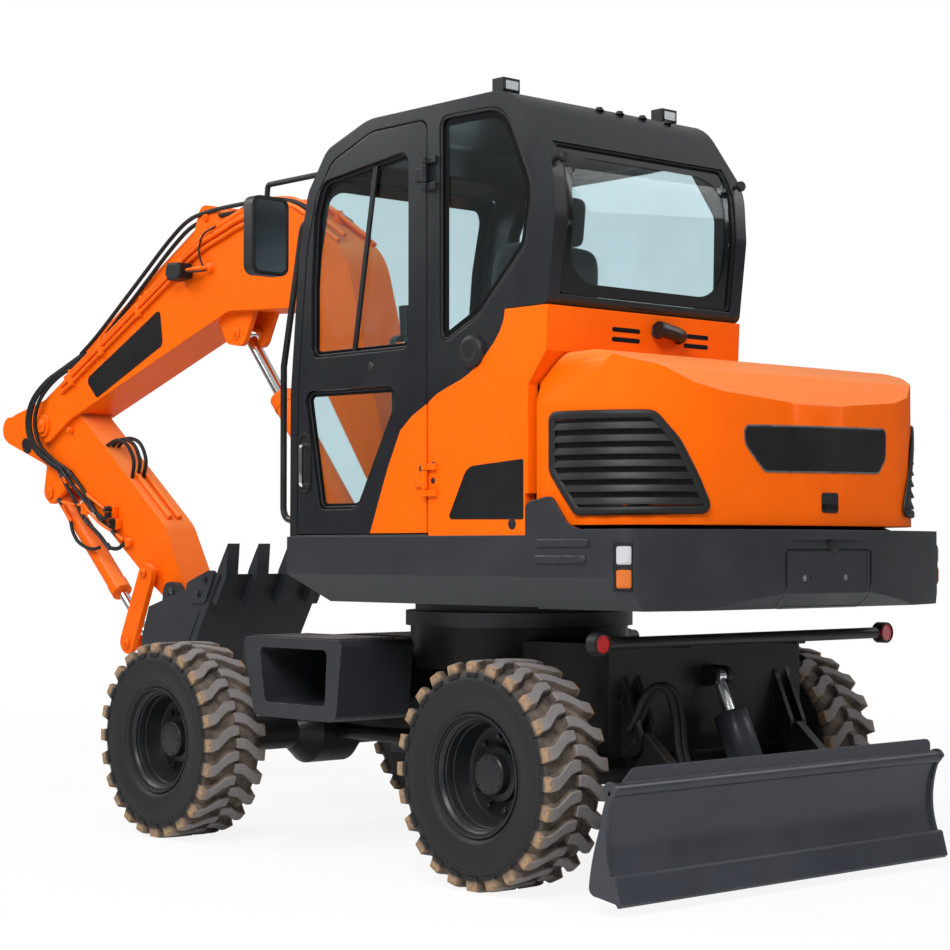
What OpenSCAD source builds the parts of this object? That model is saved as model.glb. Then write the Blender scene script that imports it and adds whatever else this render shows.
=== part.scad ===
// Wheeled excavator of the 5.5 tonne class: rear dozer blade, offset cab, swing boom.
// Millimetres. X points forward, Y to the left, Z up; the ground is z = 0.
// Inside the modules x = 0 lies midway between the axles; placed() moves the machine so
// that the origin is the middle of its box on the ground.

/* [Undercarriage] */
// Distance between the two axles
wheelbase = 2050; // [1950:10:2150]
// Distance between the middle planes of the left and right tyres
track = 1570; // [1550:5:1600]
// Tyre diameter over the lug tips
tyre_d = 848; // [830:2:860]
// Tyre width
tyre_w = 300; // [280:2:310]
// Bead diameter, where the tyre sits on the rim
bead_d = 424; // [400:2:440]
// Width of the main frame beam
beam_w = 600; // [540:10:640]
// Width of the dozer blade
blade_w = 1875; // [1800:5:1900]
// Height of the blade's bottom edge above the ground
blade_lift = 43; // [20:1:80]
// Length of the step boxes at their top edge
step_l = 660; // [560:10:700]
// Height of the step boxes
step_h = 328; // [280:4:340]

/* [Upper structure] */
// Distance of the swing axis behind the middle of the wheelbase
swing_back = 300; // [260:5:340]
// Radius swept by the counterweight
tail_r = 1645; // [1600:5:1700]
// Width of the deck over its side skirts
deck_w = 1810; // [1760:5:1850]
// Height of the deck's underside
deck_low = 1046; // [1030:2:1070]
// Height of the deck's top, where the cab stands
deck_top = 1305; // [1290:5:1320]
// Outside width of the cab
cab_w = 1039; // [1000:1:1060]
// Height of the cab roof
roof_z = 2935; // [2900:5:2980]
// Thickness of the cab walls and of the door
wall = 50; // [40:1:60]
// Thickness of the glass
glass_t = 6; // [4:1:8]

/* [Boom, arm and bucket] */
// Boom length between its two pins
boom_len = 3000; // [2900:10:3100]
// Arm length between the boom pin and the bucket pin
arm_len = 1559; // [1500:1:1650]
// Outside width of the boom
boom_w = 250; // [230:2:270]
// Width of the arm
arm_w = 190; // [170:2:196]
// Width of the bucket
bucket_w = 650; // [560:10:660]
// Plate thickness of the bucket
bucket_t = 20; // [14:1:26]
// Sideways place of the boom, to the right of the middle
boom_right = 295; // [280:5:310]

/* [Fits] */
// Side gap between a moving eye and its lugs
side_gap = 2; // [1:0.5:4]
// Radial gap of a pin in its bore
pin_gap = 0.3; // [0.2:0.1:0.6]
// Gap between a sliding rod and its gland
rod_gap = 0.5; // [0.3:0.1:1]
// Gap round a door, lid or pane
panel_gap = 6; // [5:1:8]
// Gap left where one piece rests on another
seat_gap = 0.3; // [0.2:0.1:0.5]

/* [Hidden] */
$fn = 48;
charcoal = "#33363b";
black = "#17181a";
orange = "#f26a0a";
dark = "#1f2226";
clear = "#a9c0cc";
chrome = "#d5d8dc";

axle_z = tyre_d / 2;
front_x = wheelbase / 2;
rear_x = -wheelbase / 2;
swing_x = -swing_back;
boom_y = -boom_right;
deck_y = deck_w / 2;

tail_x = swing_x - tail_r;

// Outline helpers

function unit(v) = v / norm(v);
function turn(p, a) = [p.x * cos(a) - p.y * sin(a), p.x * sin(a) + p.y * cos(a)];
function fillet(p0, p1, p2, r, n) =
    let (u = unit(p0 - p1), v = unit(p2 - p1), half = acos(u * v) / 2,
         c = p1 + unit(u + v) * r / sin(half), a = p1 + u * r / tan(half) - c,
         b = p1 + v * r / tan(half) - c, a0 = atan2(a.y, a.x),
         d = (atan2(b.y, b.x) - a0 + 540) % 360 - 180)
    [for (i = [0 : n]) c + r * [cos(a0 + d * i / n), sin(a0 + d * i / n)]];
// Polygon whose corners [x, y, radius] are rounded
function rounded(pts, n = 5) = let (m = len(pts))
    [for (i = [0 : m - 1]) let (p = pts[i], q = [p.x, p.y], a = pts[(i + m - 1) % m],
         b = pts[(i + 1) % m])
     each (p.z > 0 ? fillet([a.x, a.y], q, [b.x, b.y], p.z, n) : [q])];
// Outline moved inwards by d; corners run counter-clockwise
function inset(pts, d) = let (m = len(pts))
    [for (i = [0 : m - 1]) let (p = pts[i], a = pts[(i + m - 1) % m], b = pts[(i + 1) % m],
         e0 = unit([p.x - a.x, p.y - a.y]), e1 = unit([b.x - p.x, b.y - p.y]),
         n0 = [-e0.y, e0.x], n1 = [-e1.y, e1.x], k = d / (1 + n0 * n1))
     [p.x + k * (n0.x + n1.x), p.y + k * (n0.y + n1.y), max(0, p.z - d)]];

// Extrusions of outlines drawn in the side, front and back views
module side(y0, y1) translate([0, y1, 0]) rotate([90, 0, 0]) linear_extrude(y1 - y0) children();
module cross(x0, x1) translate([x0, 0, 0]) rotate([90, 0, 90]) linear_extrude(x1 - x0) children();
module plan(z0, z1) translate([0, 0, z0]) linear_extrude(z1 - z0) children();
module pin_y(p, r, y0, y1) translate([p.x, y0, p.y]) rotate([-90, 0, 0]) cylinder(h = y1 - y0, r = r);
module rod_x(x0, x1, y, z, r) translate([x0, y, z]) rotate([0, 90, 0]) cylinder(h = x1 - x0, r = r);
module both() {
    children();
    mirror([0, 1, 0]) children();
}
// Round bar between two points
module bar(a, b, r) {
    v = b - a;
    translate(a) rotate([0, acos(v.z / norm(v)), atan2(v.y, v.x)]) cylinder(h = norm(v), r = r);
}
// Polyline in space whose inner corners are bent to radius r
function bend(pts, r, n = 4) = [for (i = [0 : len(pts) - 1]) let (p = pts[i])
    each (i == 0 || i == len(pts) - 1 ? [p] :
        let (u = unit(pts[i - 1] - p), v = unit(pts[i + 1] - p), half = acos(u * v) / 2,
             c = p + unit(u + v) * r / sin(half), e = unit(p + u * r / tan(half) - c),
             w = p + v * r / tan(half) - c, f = unit(w - (w * e) * e))
        [for (k = [0 : n]) let (a = (180 - 2 * half) * k / n) c + r * (cos(a) * e + sin(a) * f)])];
// Round tube swept along a path; ref is a direction that no stretch of it follows
module tube_path(path, r, ref = [0, 1, 0], n = 10) {
    m = len(path);
    rings = [for (i = [0 : m - 1]) let (t = unit(path[min(i + 1, m - 1)] - path[max(i - 1, 0)]),
        a = unit(cross(t, ref)), b = cross(a, t))
        each [for (k = [0 : n - 1]) path[i] + r * (cos(360 * k / n) * a + sin(360 * k / n) * b)]];
    polyhedron(rings, concat([[for (k = [n - 1 : -1 : 0]) k]], [[for (k = [0 : n - 1]) (m - 1) * n + k]],
        [for (i = [0 : m - 2], k = [0 : n - 1]) let (j = (k + 1) % n)
            [i * n + k, i * n + j, (i + 1) * n + j, (i + 1) * n + k]]));
}

// Working gear: pins in the boom plane, as [x, z]

boom_rest = 9.5;
arm_rest = 216.35;
boom_foot = [797, 1450];
function boom_at(u, p) = boom_foot + turn([u * boom_len / 3000, p], boom_rest);
arm_pin = boom_at(3000, 0);
bucket_pin = arm_pin + turn([arm_len, 0], arm_rest);
function arm_at(u, p) = bucket_pin + turn([u * arm_len / 1559, p], arm_rest - 180);
arm_tail = arm_at(1904, -258);
function bucket_at(x, z) = bucket_pin + [x, z];
boom_cyl_base = [985, 1150];
boom_cyl_eye = boom_at(1336, 681);
arm_cyl_base = boom_at(1682, 1250);
bucket_cyl_base = arm_at(1336, -302);
rocker_pin = arm_at(225, -31);
rocker_eye = arm_at(127, -426);
link_eye = bucket_at(28, -238);
swing_pin = [600, boom_y];

// Shift that puts the origin in the middle of the machine's box
tail_boss_r = 72;
nose_x = arm_tail.x + tail_boss_r;
origin_x = (tail_x + nose_x) / 2;
module placed() translate([-origin_x, 0, 0]) children();

// Chassis

beam_low = axle_z + 176;
beam_belly = beam_low - 100;
beam_top = beam_low + 290;
frame_rear = rear_x - 305;
frame_nose = front_x + 215;
ring_r = 475;
ring_top = deck_low - 46;
pivot_y = 430;
blade_pin = [rear_x - 375, axle_z + 116];
blade_pin_r = 20;
blade_rod_pin = [rear_x - 375, axle_z + 348];
blade_cyl_pin = [rear_x - 575, axle_z - 94];
bracket_t = 22;
tie_y = 500;
tie_z = beam_low + 100;
tie_r = 22.5;
arm_eye_w = 46;

module frame_outline() polygon([[frame_rear, beam_low], [rear_x + 325, beam_low],
    [rear_x + 405, beam_belly], [front_x - 465, beam_belly], [front_x - 385, beam_low],
    [frame_nose - 60, beam_low], [frame_nose, beam_low + 60], [frame_nose, beam_low + 190],
    [frame_nose - 90, beam_low + 250], [swing_x + 700, beam_top], [frame_rear, beam_top]]);

module blade_bracket(y) {
    outline = rounded([[frame_rear + 1, beam_low - 110, 0], [blade_pin.x - 38, blade_pin.y - 42, 36],
        [blade_pin.x - 44, blade_pin.y + 40, 36], [frame_rear - 22, beam_low + 190, 8],
        [frame_rear + 1, beam_low + 190, 0]]);
    half = arm_eye_w / 2 + side_gap;
    for (s = [-1, 1])
        side(y + s * (half + bracket_t / 2) - bracket_t / 2, y + s * (half + bracket_t / 2) + bracket_t / 2)
            polygon(outline);
    pin_y(blade_pin, blade_pin_r, y - half - bracket_t - 6, y + half + bracket_t + 6);
}

module rod_lugs(p, dx, half, t, r) {
    for (s = [-1, 1])
        side(s > 0 ? half : -half - t, s > 0 ? half + t : -half)
            polygon(rounded([[p.x + dx, p.y - r, 0], [p.x - r, p.y - r, r * 0.95], [p.x - r, p.y + r, r * 0.95],
                [p.x + dx, p.y + r, 0]]));
}

module chassis_frame() color(black) placed() {
    side(-beam_w / 2, beam_w / 2) frame_outline();
    translate([swing_x, 0, beam_top - 120]) cylinder(h = ring_top - 60 - beam_top + 120, r = ring_r - 20);
    // rear cross plate, blade brackets and the lugs of the blade cylinder's rod
    difference() {
        translate([frame_rear - 24, -545, beam_low - 110]) cube([25, 1090, beam_top - beam_low + 110]);
        for (s = [-1, 1]) rod_x(frame_rear - 30, frame_rear + 10, s * tie_y, tie_z, tie_r);
    }
    for (s = [-1, 1]) blade_bracket(s * pivot_y);
    rod_lugs(blade_rod_pin, frame_rear - blade_rod_pin.x - 10, 27, 20, 38);
    // cross members that carry the step boxes
    both() for (x = [step_x - 90, step_x + 230])
        translate([x, beam_w / 2 - 1, step_top - 250]) cube([70, step_in - beam_w / 2 + 1, 180]);
}

module slewing_ring() color("#26282b") placed() translate([swing_x, 0, 0]) difference() {
    translate([0, 0, ring_top - 60]) cylinder(h = 60, r = ring_r);
    translate([0, 0, ring_top - 61]) cylinder(h = 62, r = ring_r - 120);
}

// Step boxes with an open tool bin facing outwards

step_x = 0;
step_in = 480;
step_out = 860;
step_top = beam_low + 292;
step_wall = 42;

function step_outline() = rounded([[step_x - 184, step_top, 30], [step_x - 145, step_top - step_h, 40],
    [step_x - 267 + step_l, step_top - step_h, 40], [step_x - 184 + step_l, step_top, 30]]);
function bin_outline() = rounded([[step_x - 90, step_top - step_wall, 26],
    [step_x - 76, step_top - step_h + 60, 26], [step_x - 340 + step_l, step_top - step_h + 60, 26],
    [step_x - 300 + step_l, step_top - step_wall, 26]]);

module step_boxes() color(charcoal) placed() both() difference() {
    side(step_in, step_out) polygon(step_outline());
    side(step_in + 25, step_out + 1) polygon(bin_outline());
}

// Axles, knuckles and wheels

wheel_y = track / 2;
kingpin_y = wheel_y - 195;
hub_r = 105;
spindle_r = 45.5;
rim_face = tyre_w / 2 - 16;

module axle_beam(half) {
    pin_y([0, axle_z], 78, -half, half);
    pin_y([0, axle_z], 150, -105, 105);
    for (s = [-1, 1]) translate([0, s * 104, axle_z]) rotate([-90 * s, 0, 0]) cylinder(h = 90, r1 = 150, r2 = 78);
}

module hub(y0) {
    pin_y([0, axle_z], hub_r, y0, wheel_y - 52);
    pin_y([0, axle_z], spindle_r, wheel_y - 53, wheel_y + 3);
}

module rear_axle() color(black) placed() translate([rear_x, 0, 0]) {
    axle_beam(wheel_y - 134);
    both() hub(wheel_y - 135);
    both() translate([-60, 180, axle_z]) cube([120, 110, beam_low - axle_z]);
}

module front_axle() color(black) placed() translate([front_x, 0, 0]) {
    axle_beam(kingpin_y - 95);
    translate([-60, -95, axle_z]) cube([120, 190, beam_low - axle_z]);
    both() difference() {
        union() {
            translate([-66, kingpin_y - 125, axle_z - 140]) cube([132, 40, 280]);
            for (z = [axle_z - 140, axle_z + 100]) {
                translate([-50, kingpin_y - 90, z]) cube([100, 90, 40]);
                translate([0, kingpin_y, z]) cylinder(h = 40, r = 50);
            }
        }
        translate([0, kingpin_y, axle_z - 150]) cylinder(h = 300, r = 20 + pin_gap);
    }
}

module knuckle() translate([front_x, 0, 0]) {
    translate([0, kingpin_y, axle_z - 100 + side_gap]) cylinder(h = 200 - 2 * side_gap, r = 50);
    translate([0, kingpin_y, axle_z - 140]) cylinder(h = 280, r = 20);
    pin_y([0, axle_z], 70, kingpin_y, wheel_y - 134);
    hub(wheel_y - 135);
}
module knuckle_left() color(black) placed() knuckle();
module knuckle_right() color(black) placed() mirror([0, 1, 0]) knuckle();

module tyre_body() rotate_extrude() polygon([[bead_d / 2, -125], [bead_d / 2 + 18, -125],
    [bead_d / 2 + 30, -tyre_w / 2 + 10],
    [bead_d / 2 + 110, -tyre_w / 2], [axle_z - 40, -tyre_w / 2 + 4], [axle_z - 4, -tyre_w / 2 + 26],
    [axle_z, -tyre_w / 2 + 52], [axle_z, tyre_w / 2 - 52], [axle_z - 4, tyre_w / 2 - 26],
    [axle_z - 40, tyre_w / 2 - 4], [bead_d / 2 + 110, tyre_w / 2], [bead_d / 2 + 30, tyre_w / 2 - 10],
    [bead_d / 2 + 18, 125], [bead_d / 2, 125]]);

module rim_body() {
    seat = bead_d / 2 - pin_gap;
    well = bead_d / 2 - 14;
    flange = bead_d / 2 + 16;
    rotate_extrude() polygon([[spindle_r + pin_gap, -50], [well, -50], [well, -rim_face], [flange, -rim_face],
        [flange, -126], [seat, -126], [seat, 126], [flange, 126], [flange, rim_face], [well, rim_face],
        [well, -34], [80, -34], [80, 50], [70, 62], [0, 62], [0, 5], [spindle_r + pin_gap, 5]]);
}

// Puts a wheel part on its axle; its own axis is Z, pointing outwards
module at_wheel(x, s) color(black) placed()
    translate([x, s * wheel_y, axle_z]) rotate([-90 * s, 0, 0]) children();
module tyre_front_left() at_wheel(front_x, 1) tyre_body();
module tyre_front_right() at_wheel(front_x, -1) tyre_body();
module tyre_rear_left() at_wheel(rear_x, 1) tyre_body();
module tyre_rear_right() at_wheel(rear_x, -1) tyre_body();
module wheel_front_left() at_wheel(front_x, 1) rim_body();
module wheel_front_right() at_wheel(front_x, -1) rim_body();
module wheel_rear_left() at_wheel(rear_x, 1) rim_body();
module wheel_rear_right() at_wheel(rear_x, -1) rim_body();

// Gearbox under the belly, with a shaft to each axle
module drive_line() color(black) placed() {
    translate([-160, -120, axle_z - 110]) cube([320, 240, beam_belly - seat_gap - axle_z + 110]);
    pin_y([60, axle_z - 30], 80, -260, -119);
    rod_x(rear_x + 150, -160, 0, axle_z, 34);
    rod_x(160, front_x - 150, 0, axle_z, 34);
}

// Tail lamp tube across the rear of the chassis
lamp_tube = [frame_rear - 230, beam_top + 30];
lamp_y = 812;
module tail_lamp_bar() color(black) placed() {
    pin_y(lamp_tube, 22, 42 - lamp_y, lamp_y - 42);
    both() translate([lamp_tube.x, 280, beam_top]) cube([-lamp_tube.x + frame_rear, 50, 24]);
}
module tail_reflectors() color("#c01f1c") placed() both()
    translate([lamp_tube.x, lamp_y, lamp_tube.y]) rotate([0, -90, 0]) {
        translate([0, 0, -22]) cylinder(h = 46, r = 39);
        translate([0, seat_gap - 42, 0]) rotate([-90, 0, 0]) cylinder(h = 40, r = 20);
    }

// Dozer blade and its cylinder

blade_top = [rear_x - 719, 424];
blade_edge = [rear_x - 758, blade_lift];
blade_sag = 62;
mould_t = 16;
blade_arc_r = (pow(norm(blade_top - blade_edge) / 2, 2) + pow(blade_sag, 2)) / (2 * blade_sag);
blade_chord = unit(blade_top - blade_edge);
blade_arc_c = (blade_top + blade_edge) / 2 + (blade_arc_r - blade_sag) * [-blade_chord.y, blade_chord.x];
function blade_arc(r, n = 14) = let (a = blade_edge - blade_arc_c, b = blade_top - blade_arc_c,
    a0 = atan2(a.y, a.x), a1 = atan2(b.y, b.x))
    [for (i = [0 : n]) blade_arc_c + r * [cos(a0 + (a1 - a0) * i / n), sin(a0 + (a1 - a0) * i / n)]];
blade_half = blade_w / 2;
blade_cyl_r = 52;
blade_lug = blade_cyl_r + 4;

module blade() color(charcoal) placed() {
    side(-blade_half + 2, blade_half - 2)
        polygon(concat(blade_arc(blade_arc_r), [for (i = [14 : -1 : 0]) blade_arc(blade_arc_r + mould_t)[i]]));
    pin_y(blade_top + [6, 6], 24, -blade_half + 2, blade_half - 2);
    // spill plate with its left end cut back
    cross(blade_top.x + 6, blade_top.x + 18)
        polygon([[-blade_half + 50, blade_top.y], [-blade_half + 50, blade_top.y + 62],
            [-blade_half + 66, blade_top.y + 78], [blade_half - 120, blade_top.y + 78],
            [blade_half - 30, blade_top.y]]);
    // end plates and cutting edge
    both() side(blade_half - 16, blade_half) polygon(rounded([[blade_top.x + 40, blade_top.y + 30, 24],
        [blade_top.x - 14, blade_top.y + 34, 26], [blade_top.x - 18, blade_top.y - 60, 0],
        [blade_arc_c.x + blade_arc_r - 8, (blade_top.y + blade_edge.y) / 2, 0],
        [blade_edge.x, blade_edge.y, 0], [blade_edge.x + 150, blade_edge.y + 30, 30]]));
    side(-blade_half, blade_half) polygon([blade_edge, blade_edge + [34, 6], blade_edge + [40, 86],
        blade_edge + [8, 92]]);
    // push arms and the lugs of the cylinder
    for (s = [-1, 1]) difference() {
        side(s * pivot_y - arm_eye_w / 2, s * pivot_y + arm_eye_w / 2)
            polygon(rounded([[blade_pin.x + 32, blade_pin.y + 40, 30], [blade_pin.x - 46, blade_pin.y + 40, 36],
                [blade_top.x + 70, blade_top.y - 40, 0], [blade_edge.x + 76, blade_edge.y + 120, 0],
                [blade_edge.x + 150, blade_edge.y + 150, 30], [blade_pin.x + 32, blade_pin.y - 40, 30]]));
        pin_y(blade_pin, blade_pin_r + pin_gap, s * pivot_y - 60, s * pivot_y + 60);
    }
    for (s = [-1, 1]) side(s > 0 ? blade_lug : -blade_lug - 20, s > 0 ? blade_lug + 20 : -blade_lug)
        polygon(rounded([[blade_cyl_pin.x - 110, blade_cyl_pin.y + 60, 0], [blade_cyl_pin.x - 110, blade_cyl_pin.y - 120, 0],
            [blade_cyl_pin.x + 36, blade_cyl_pin.y - 44, 30], [blade_cyl_pin.x + 36, blade_cyl_pin.y + 40, 30]]));
    pin_y(blade_cyl_pin, 18, -blade_lug - 26, blade_lug + 26);
}

// Hydraulic cylinders. a is the barrel's pin, b the rod's pin, both as [x, z].
// The barrel runs to its gland at barrel_l; the rod starts at rod_in.

module along(a, b, y) translate([a.x, y, a.y])
    rotate([0, 90 - atan2(b.y - a.y, b.x - a.x), 0]) children();

module barrel(a, b, y, r, rod_r, barrel_l, eye_w, eye_r, bore_r) difference() {
    union() {
        along(a, b, y) translate([0, 0, eye_r * 0.6]) cylinder(h = barrel_l - eye_r * 0.6, r = r);
        along(a, b, y) translate([0, 0, barrel_l - 70]) cylinder(h = 70, r = r + 4);
        pin_y(a, eye_r, y - eye_w / 2, y + eye_w / 2);
    }
    along(a, b, y) translate([0, 0, eye_r * 0.6 + 40]) cylinder(h = barrel_l, r = rod_r + rod_gap);
    pin_y(a, bore_r, y - eye_w, y + eye_w);
}

module rod(a, b, y, r, rod_in, eye_w, eye_r) {
    along(a, b, y) translate([0, 0, rod_in]) cylinder(h = norm(b - a) - rod_in, r = r);
    pin_y(b, eye_r, y - eye_w / 2, y + eye_w / 2);
}

module blade_barrel() color(charcoal) placed()
    barrel(blade_cyl_pin, blade_rod_pin, 0, blade_cyl_r, 24, 330, 2 * (blade_lug - side_gap), 32, 18 + pin_gap);
module blade_rod() color(chrome) placed() rod(blade_cyl_pin, blade_rod_pin, 0, 24, 170, 50, 30);

// Deck, counterweight, engine, covers

deck_front = 115;
deck_seam = swing_x - 984;
skirt_low = deck_low + 109;
skirt_in = 65;

module skirt_section() polygon([[-deck_y, skirt_low], [-deck_y + skirt_in, deck_low], [deck_y - skirt_in, deck_low],
    [deck_y, skirt_low], [deck_y, deck_top], [-deck_y, deck_top]]);

module deck() color(charcoal) placed() {
    difference() {
        cross(deck_seam, deck_front) skirt_section();
        side(-deck_y - 1, deck_y + 1) polygon([[deck_front + 1, deck_low - 1], [deck_front + 1, skirt_low],
            [deck_front - 205, deck_low - 1]]);
    }
    translate([swing_x, 0, ring_top + seat_gap]) cylinder(h = deck_low - ring_top, r = ring_r - 40);
    // nose with the two ears of the boom swing pivot
    nose = rounded([[deck_front - 150, boom_y - 230, 0], [swing_pin.x + 100, swing_pin.y - 105, 95],
        [swing_pin.x + 100, swing_pin.y + 105, 95], [deck_front - 150, boom_y + 160, 0]]);
    difference() {
        union() {
            plan(deck_low, deck_low + 44) polygon(nose);
            plan(deck_top - 44, deck_top) polygon(nose);
            plan(deck_low, deck_top) polygon([[deck_front - 150, boom_y - 200], [swing_pin.x - 160, boom_y - 120],
                [swing_pin.x - 160, boom_y + 110], [deck_front - 150, boom_y + 140]]);
        }
        translate([swing_pin.x, swing_pin.y, deck_low - 1]) cylinder(h = deck_top - deck_low + 2, r = 40 + pin_gap);
    }
}

weight_top = deck_top + 20;
// Plan of the counterweight: an arc through the rearmost point, with rounded corners
tail_corner = 165;
tail_arc_r = (pow(deck_y, 2) + pow(tail_corner, 2)) / (2 * tail_corner);
function tail_at(y) = tail_x + tail_arc_r - sqrt(pow(tail_arc_r, 2) - pow(y, 2));
function tail_plan(n = 14) = rounded(concat([[deck_seam, deck_y, 0], [deck_seam, -deck_y, 0]],
    [for (i = [0 : n]) let (y = deck_y * (2 * i / n - 1)) [tail_at(y), y, i == 0 || i == n ? 90 : 0]]));

plate_z = deck_low + 104;
plate_bolts = 190;
lamp_at = [tail_x + 205, deck_y - 30];

module counterweight() color(charcoal) placed() {
    difference() {
        intersection() {
            plan(deck_low - 6, weight_top) polygon(tail_plan());
            side(-deck_y - 1, deck_y + 1) polygon([[deck_seam + 1, deck_low - 6], [tail_x + 70, deck_low - 6],
                [tail_x - 1, deck_low + 60], [tail_x - 1, weight_top], [deck_seam + 1, weight_top]]);
            cross(tail_x - 1, deck_seam + 1) polygon([[-deck_y, skirt_low], [-deck_y + skirt_in, deck_low - 6],
                [deck_y - skirt_in, deck_low - 6], [deck_y, skirt_low], [deck_y, weight_top], [-deck_y, weight_top]]);
        }
        translate([tail_x - 1, -230, plate_z - 60]) cube([13, 460, 200]);
        for (s = [-1, 1]) rod_x(tail_x - 1, tail_x + 50, s * plate_bolts / 2, plate_z, 5);
        both() translate([lamp_at.x, lamp_at.y, deck_low + 62]) rotate([0, 0, 135]) translate([-2, -34, 0])
            cube([120, 68, 170]);
    }
    // ears that rise beside the hood's front corners
    both() side(hood_half + 15, deck_y) polygon(rounded([[deck_seam, weight_top - 10, 0], [deck_seam, weight_top + 96, 30],
        [deck_seam - 130, weight_top + 121, 40], [deck_seam - 210, weight_top + 20, 60],
        [deck_seam - 300, weight_top - 10, 0]]));
}

module tail_lamps() color("#d9691e") placed() both() intersection() {
    translate([lamp_at.x, lamp_at.y, deck_low + 62]) rotate([0, 0, 135])
        translate([seat_gap - 2, seat_gap - 34, seat_gap]) cube([110, 68 - 2 * seat_gap, 170 - 2 * seat_gap]);
    plan(deck_low, weight_top) polygon(tail_plan());
}

hood_seam = deck_seam - 32;
hood_top = deck_top + 655;
hood_low = weight_top + 15;
hood_half = deck_y - 27;
hood_t = 24;
hood_pin = [hood_seam - 94, hood_top - 16];
function hood_plan(t) = rounded([[hood_seam + (t > 0 ? 1 : 0), hood_half - t, 0], [hood_seam + (t > 0 ? 1 : 0), -hood_half + t, 0],
    [tail_x + 110 + t, -hood_half + t, 420 - t], [tail_x + 40 + t, 0, 1500], [tail_x + 110 + t, hood_half - t, 420 - t]]);
function hood_side(t) = rounded([[hood_seam + 1, hood_low - (t > 0 ? 1 : 0), 0], [hood_seam + 1, hood_top - 104 - t / 2, 0], [hood_seam - 86, hood_top - t, 0],
    [hood_seam - 250, hood_top + 5 - t, 300], [tail_x + 170 + t, hood_top - 60 - t, 60],
    [tail_x + 46 + t, hood_top - 180 - t, 40], [tail_x + 36 + t, hood_low - (t > 0 ? 1 : 0), 0]]);
function hood_cross(t) = rounded([[-hood_half + t, hood_low - 1, 0], [-hood_half + t, hood_top - 180, 20],
    [-hood_half + 60 + t, hood_top + 12 - t, 80], [0, hood_top + 30 - t, 2000],
    [hood_half - 60 - t, hood_top + 12 - t, 80], [hood_half - t, hood_top - 180, 20], [hood_half - t, hood_low - 1, 0]]);
module hood_form(t) intersection() {
    plan(hood_low - 2, hood_top + 60) polygon(hood_plan(t));
    side(-hood_half - 1, hood_half + 1) polygon(hood_side(t));
    cross(tail_x, hood_seam + 2) polygon(hood_cross(t));
}

hood_hinges = [120, 640];
hinge_r = 5;
exhaust_r = 27;
module hood() color(orange) placed() difference() {
    hood_form(0);
    hood_form(hood_t);
    // hinge notches with their bores
    for (y = hood_hinges) {
        translate([hood_pin.x - 17, y - 22, hood_pin.y - 40]) cube([150, 44, 100]);
        pin_y(hood_pin, hinge_r + pin_gap, y - 42, y + 42);
    }
}
// Hinge arms that carry the hood, on the cowl in front of it
module hood_hinge(y) {
    pin_y(hood_pin, hinge_r, y - 40, y + 40);
    pin_y(hood_pin, 12, y - 18, y + 18);
    side(y - 18, y + 18) polygon([hood_pin + [0, 12], hood_pin + [4, -12], [hood_seam - 38, hood_top - 42],
        [hood_seam - 68, hood_top]]);
}

// Louvre frames on the hood's rear corners
module hood_louvres() color(dark) placed() both() intersection() {
    plan(hood_low, hood_top) difference() {
        polygon(hood_plan(-10));
        polygon(hood_plan(-seat_gap));
    }
    side(0, hood_half + 20) polygon([[hood_seam - 69, louvre_top], [hood_seam - 69, louvre_top - 205],
        [hood_seam - 205, louvre_low], [tail_x - 20, louvre_low], [tail_x - 20, louvre_top]]);
    cross(tail_x - 20, hood_seam) polygon([[743, louvre_top], [538, louvre_low], [hood_half + 20, louvre_low],
        [hood_half + 20, louvre_top]]);
}
louvre_low = hood_low + 35;
louvre_top = hood_low + 405;

// Tail pipe that leaves the cowl above the hood and turns to the left
exhaust_at = [hood_seam - 116, 215, hood_top + 92];
exhaust_l = 140;
module exhaust() color(dark) placed() difference() {
    tube_path(bend([[hood_seam - 40, exhaust_at.y, exhaust_at.z], exhaust_at, exhaust_at + [0, exhaust_l, 24]], 40),
        exhaust_r, [0, 0, 1]);
    translate([-seat_gap, 0, 0]) side(0, 500) cowl_form();
}

module engine_block() color(black) placed()
    translate([tail_x + 150, -430, weight_top]) cube([420, 860, 470]);

// Cab: shell with its openings, panes, seat and controls

cab_left = deck_y;
cab_right = cab_left - cab_w;
cab_rear = swing_x - 1137;
cab_base = deck_top;
cowl_top = 2128;
// share by which heights and fillets above the cowl follow the room left for them
cab_k = (roof_z - cowl_top) / 807;
function cab_outline() = [[95, cab_base, 0], [93, 1880, 300], [40, 2440, 400], [-18, 2690, 110], [-140, 2850, 110],
    [-400, roof_z, 300], [-1215, roof_z, 190 * cab_k], [cab_rear + 10, cowl_top + 512 * cab_k, 220 * cab_k],
    [cab_rear - 2, cowl_top + 312 * cab_k, 240 * cab_k], [cab_rear + 37, cowl_top + 3, 30], [-1200, cowl_top + 3, 0], [-1200, cab_base, 0]];
hinge_x = -750;
function door_outline(g) = rounded([[50 - g, cab_base + 5 + g, 0], [46 - g, 1880, 260], [-8 - g, 2440, 350],
    [-66 - g, 2665, 90], [-170 - g, 2800 - g, 90], [-420, roof_z - 48 - g, 200],
    [hinge_x + g, roof_z - 48 - g, 40], [hinge_x + g, cab_base + 5 + g, 0]]);
function quarter_window() = rounded([[-820, cowl_top - 116 * cab_k, 40], [-820, roof_z - 50, 40],
    [-1180, roof_z - 55, 150 * cab_k], [-1330, cowl_top + 432 * cab_k, 200 * cab_k],
    [-1290, cowl_top + 217 * cab_k, 90 * cab_k], [-1045, cowl_top - 13 * cab_k, 200 * cab_k]]);
function upper_pane() = rounded([[-40, 2020, 40], [-40, 2300, 300], [-60, 2600, 150], [-110, 2725, 70], [-640, 2782, 45],
    [-640, 2020, 40]]);
function lower_pane() = rounded([[-92, 1412, 40], [5, 1890, 40], [-600, 1884, 50], [-330, 1412, 60]]);
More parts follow.
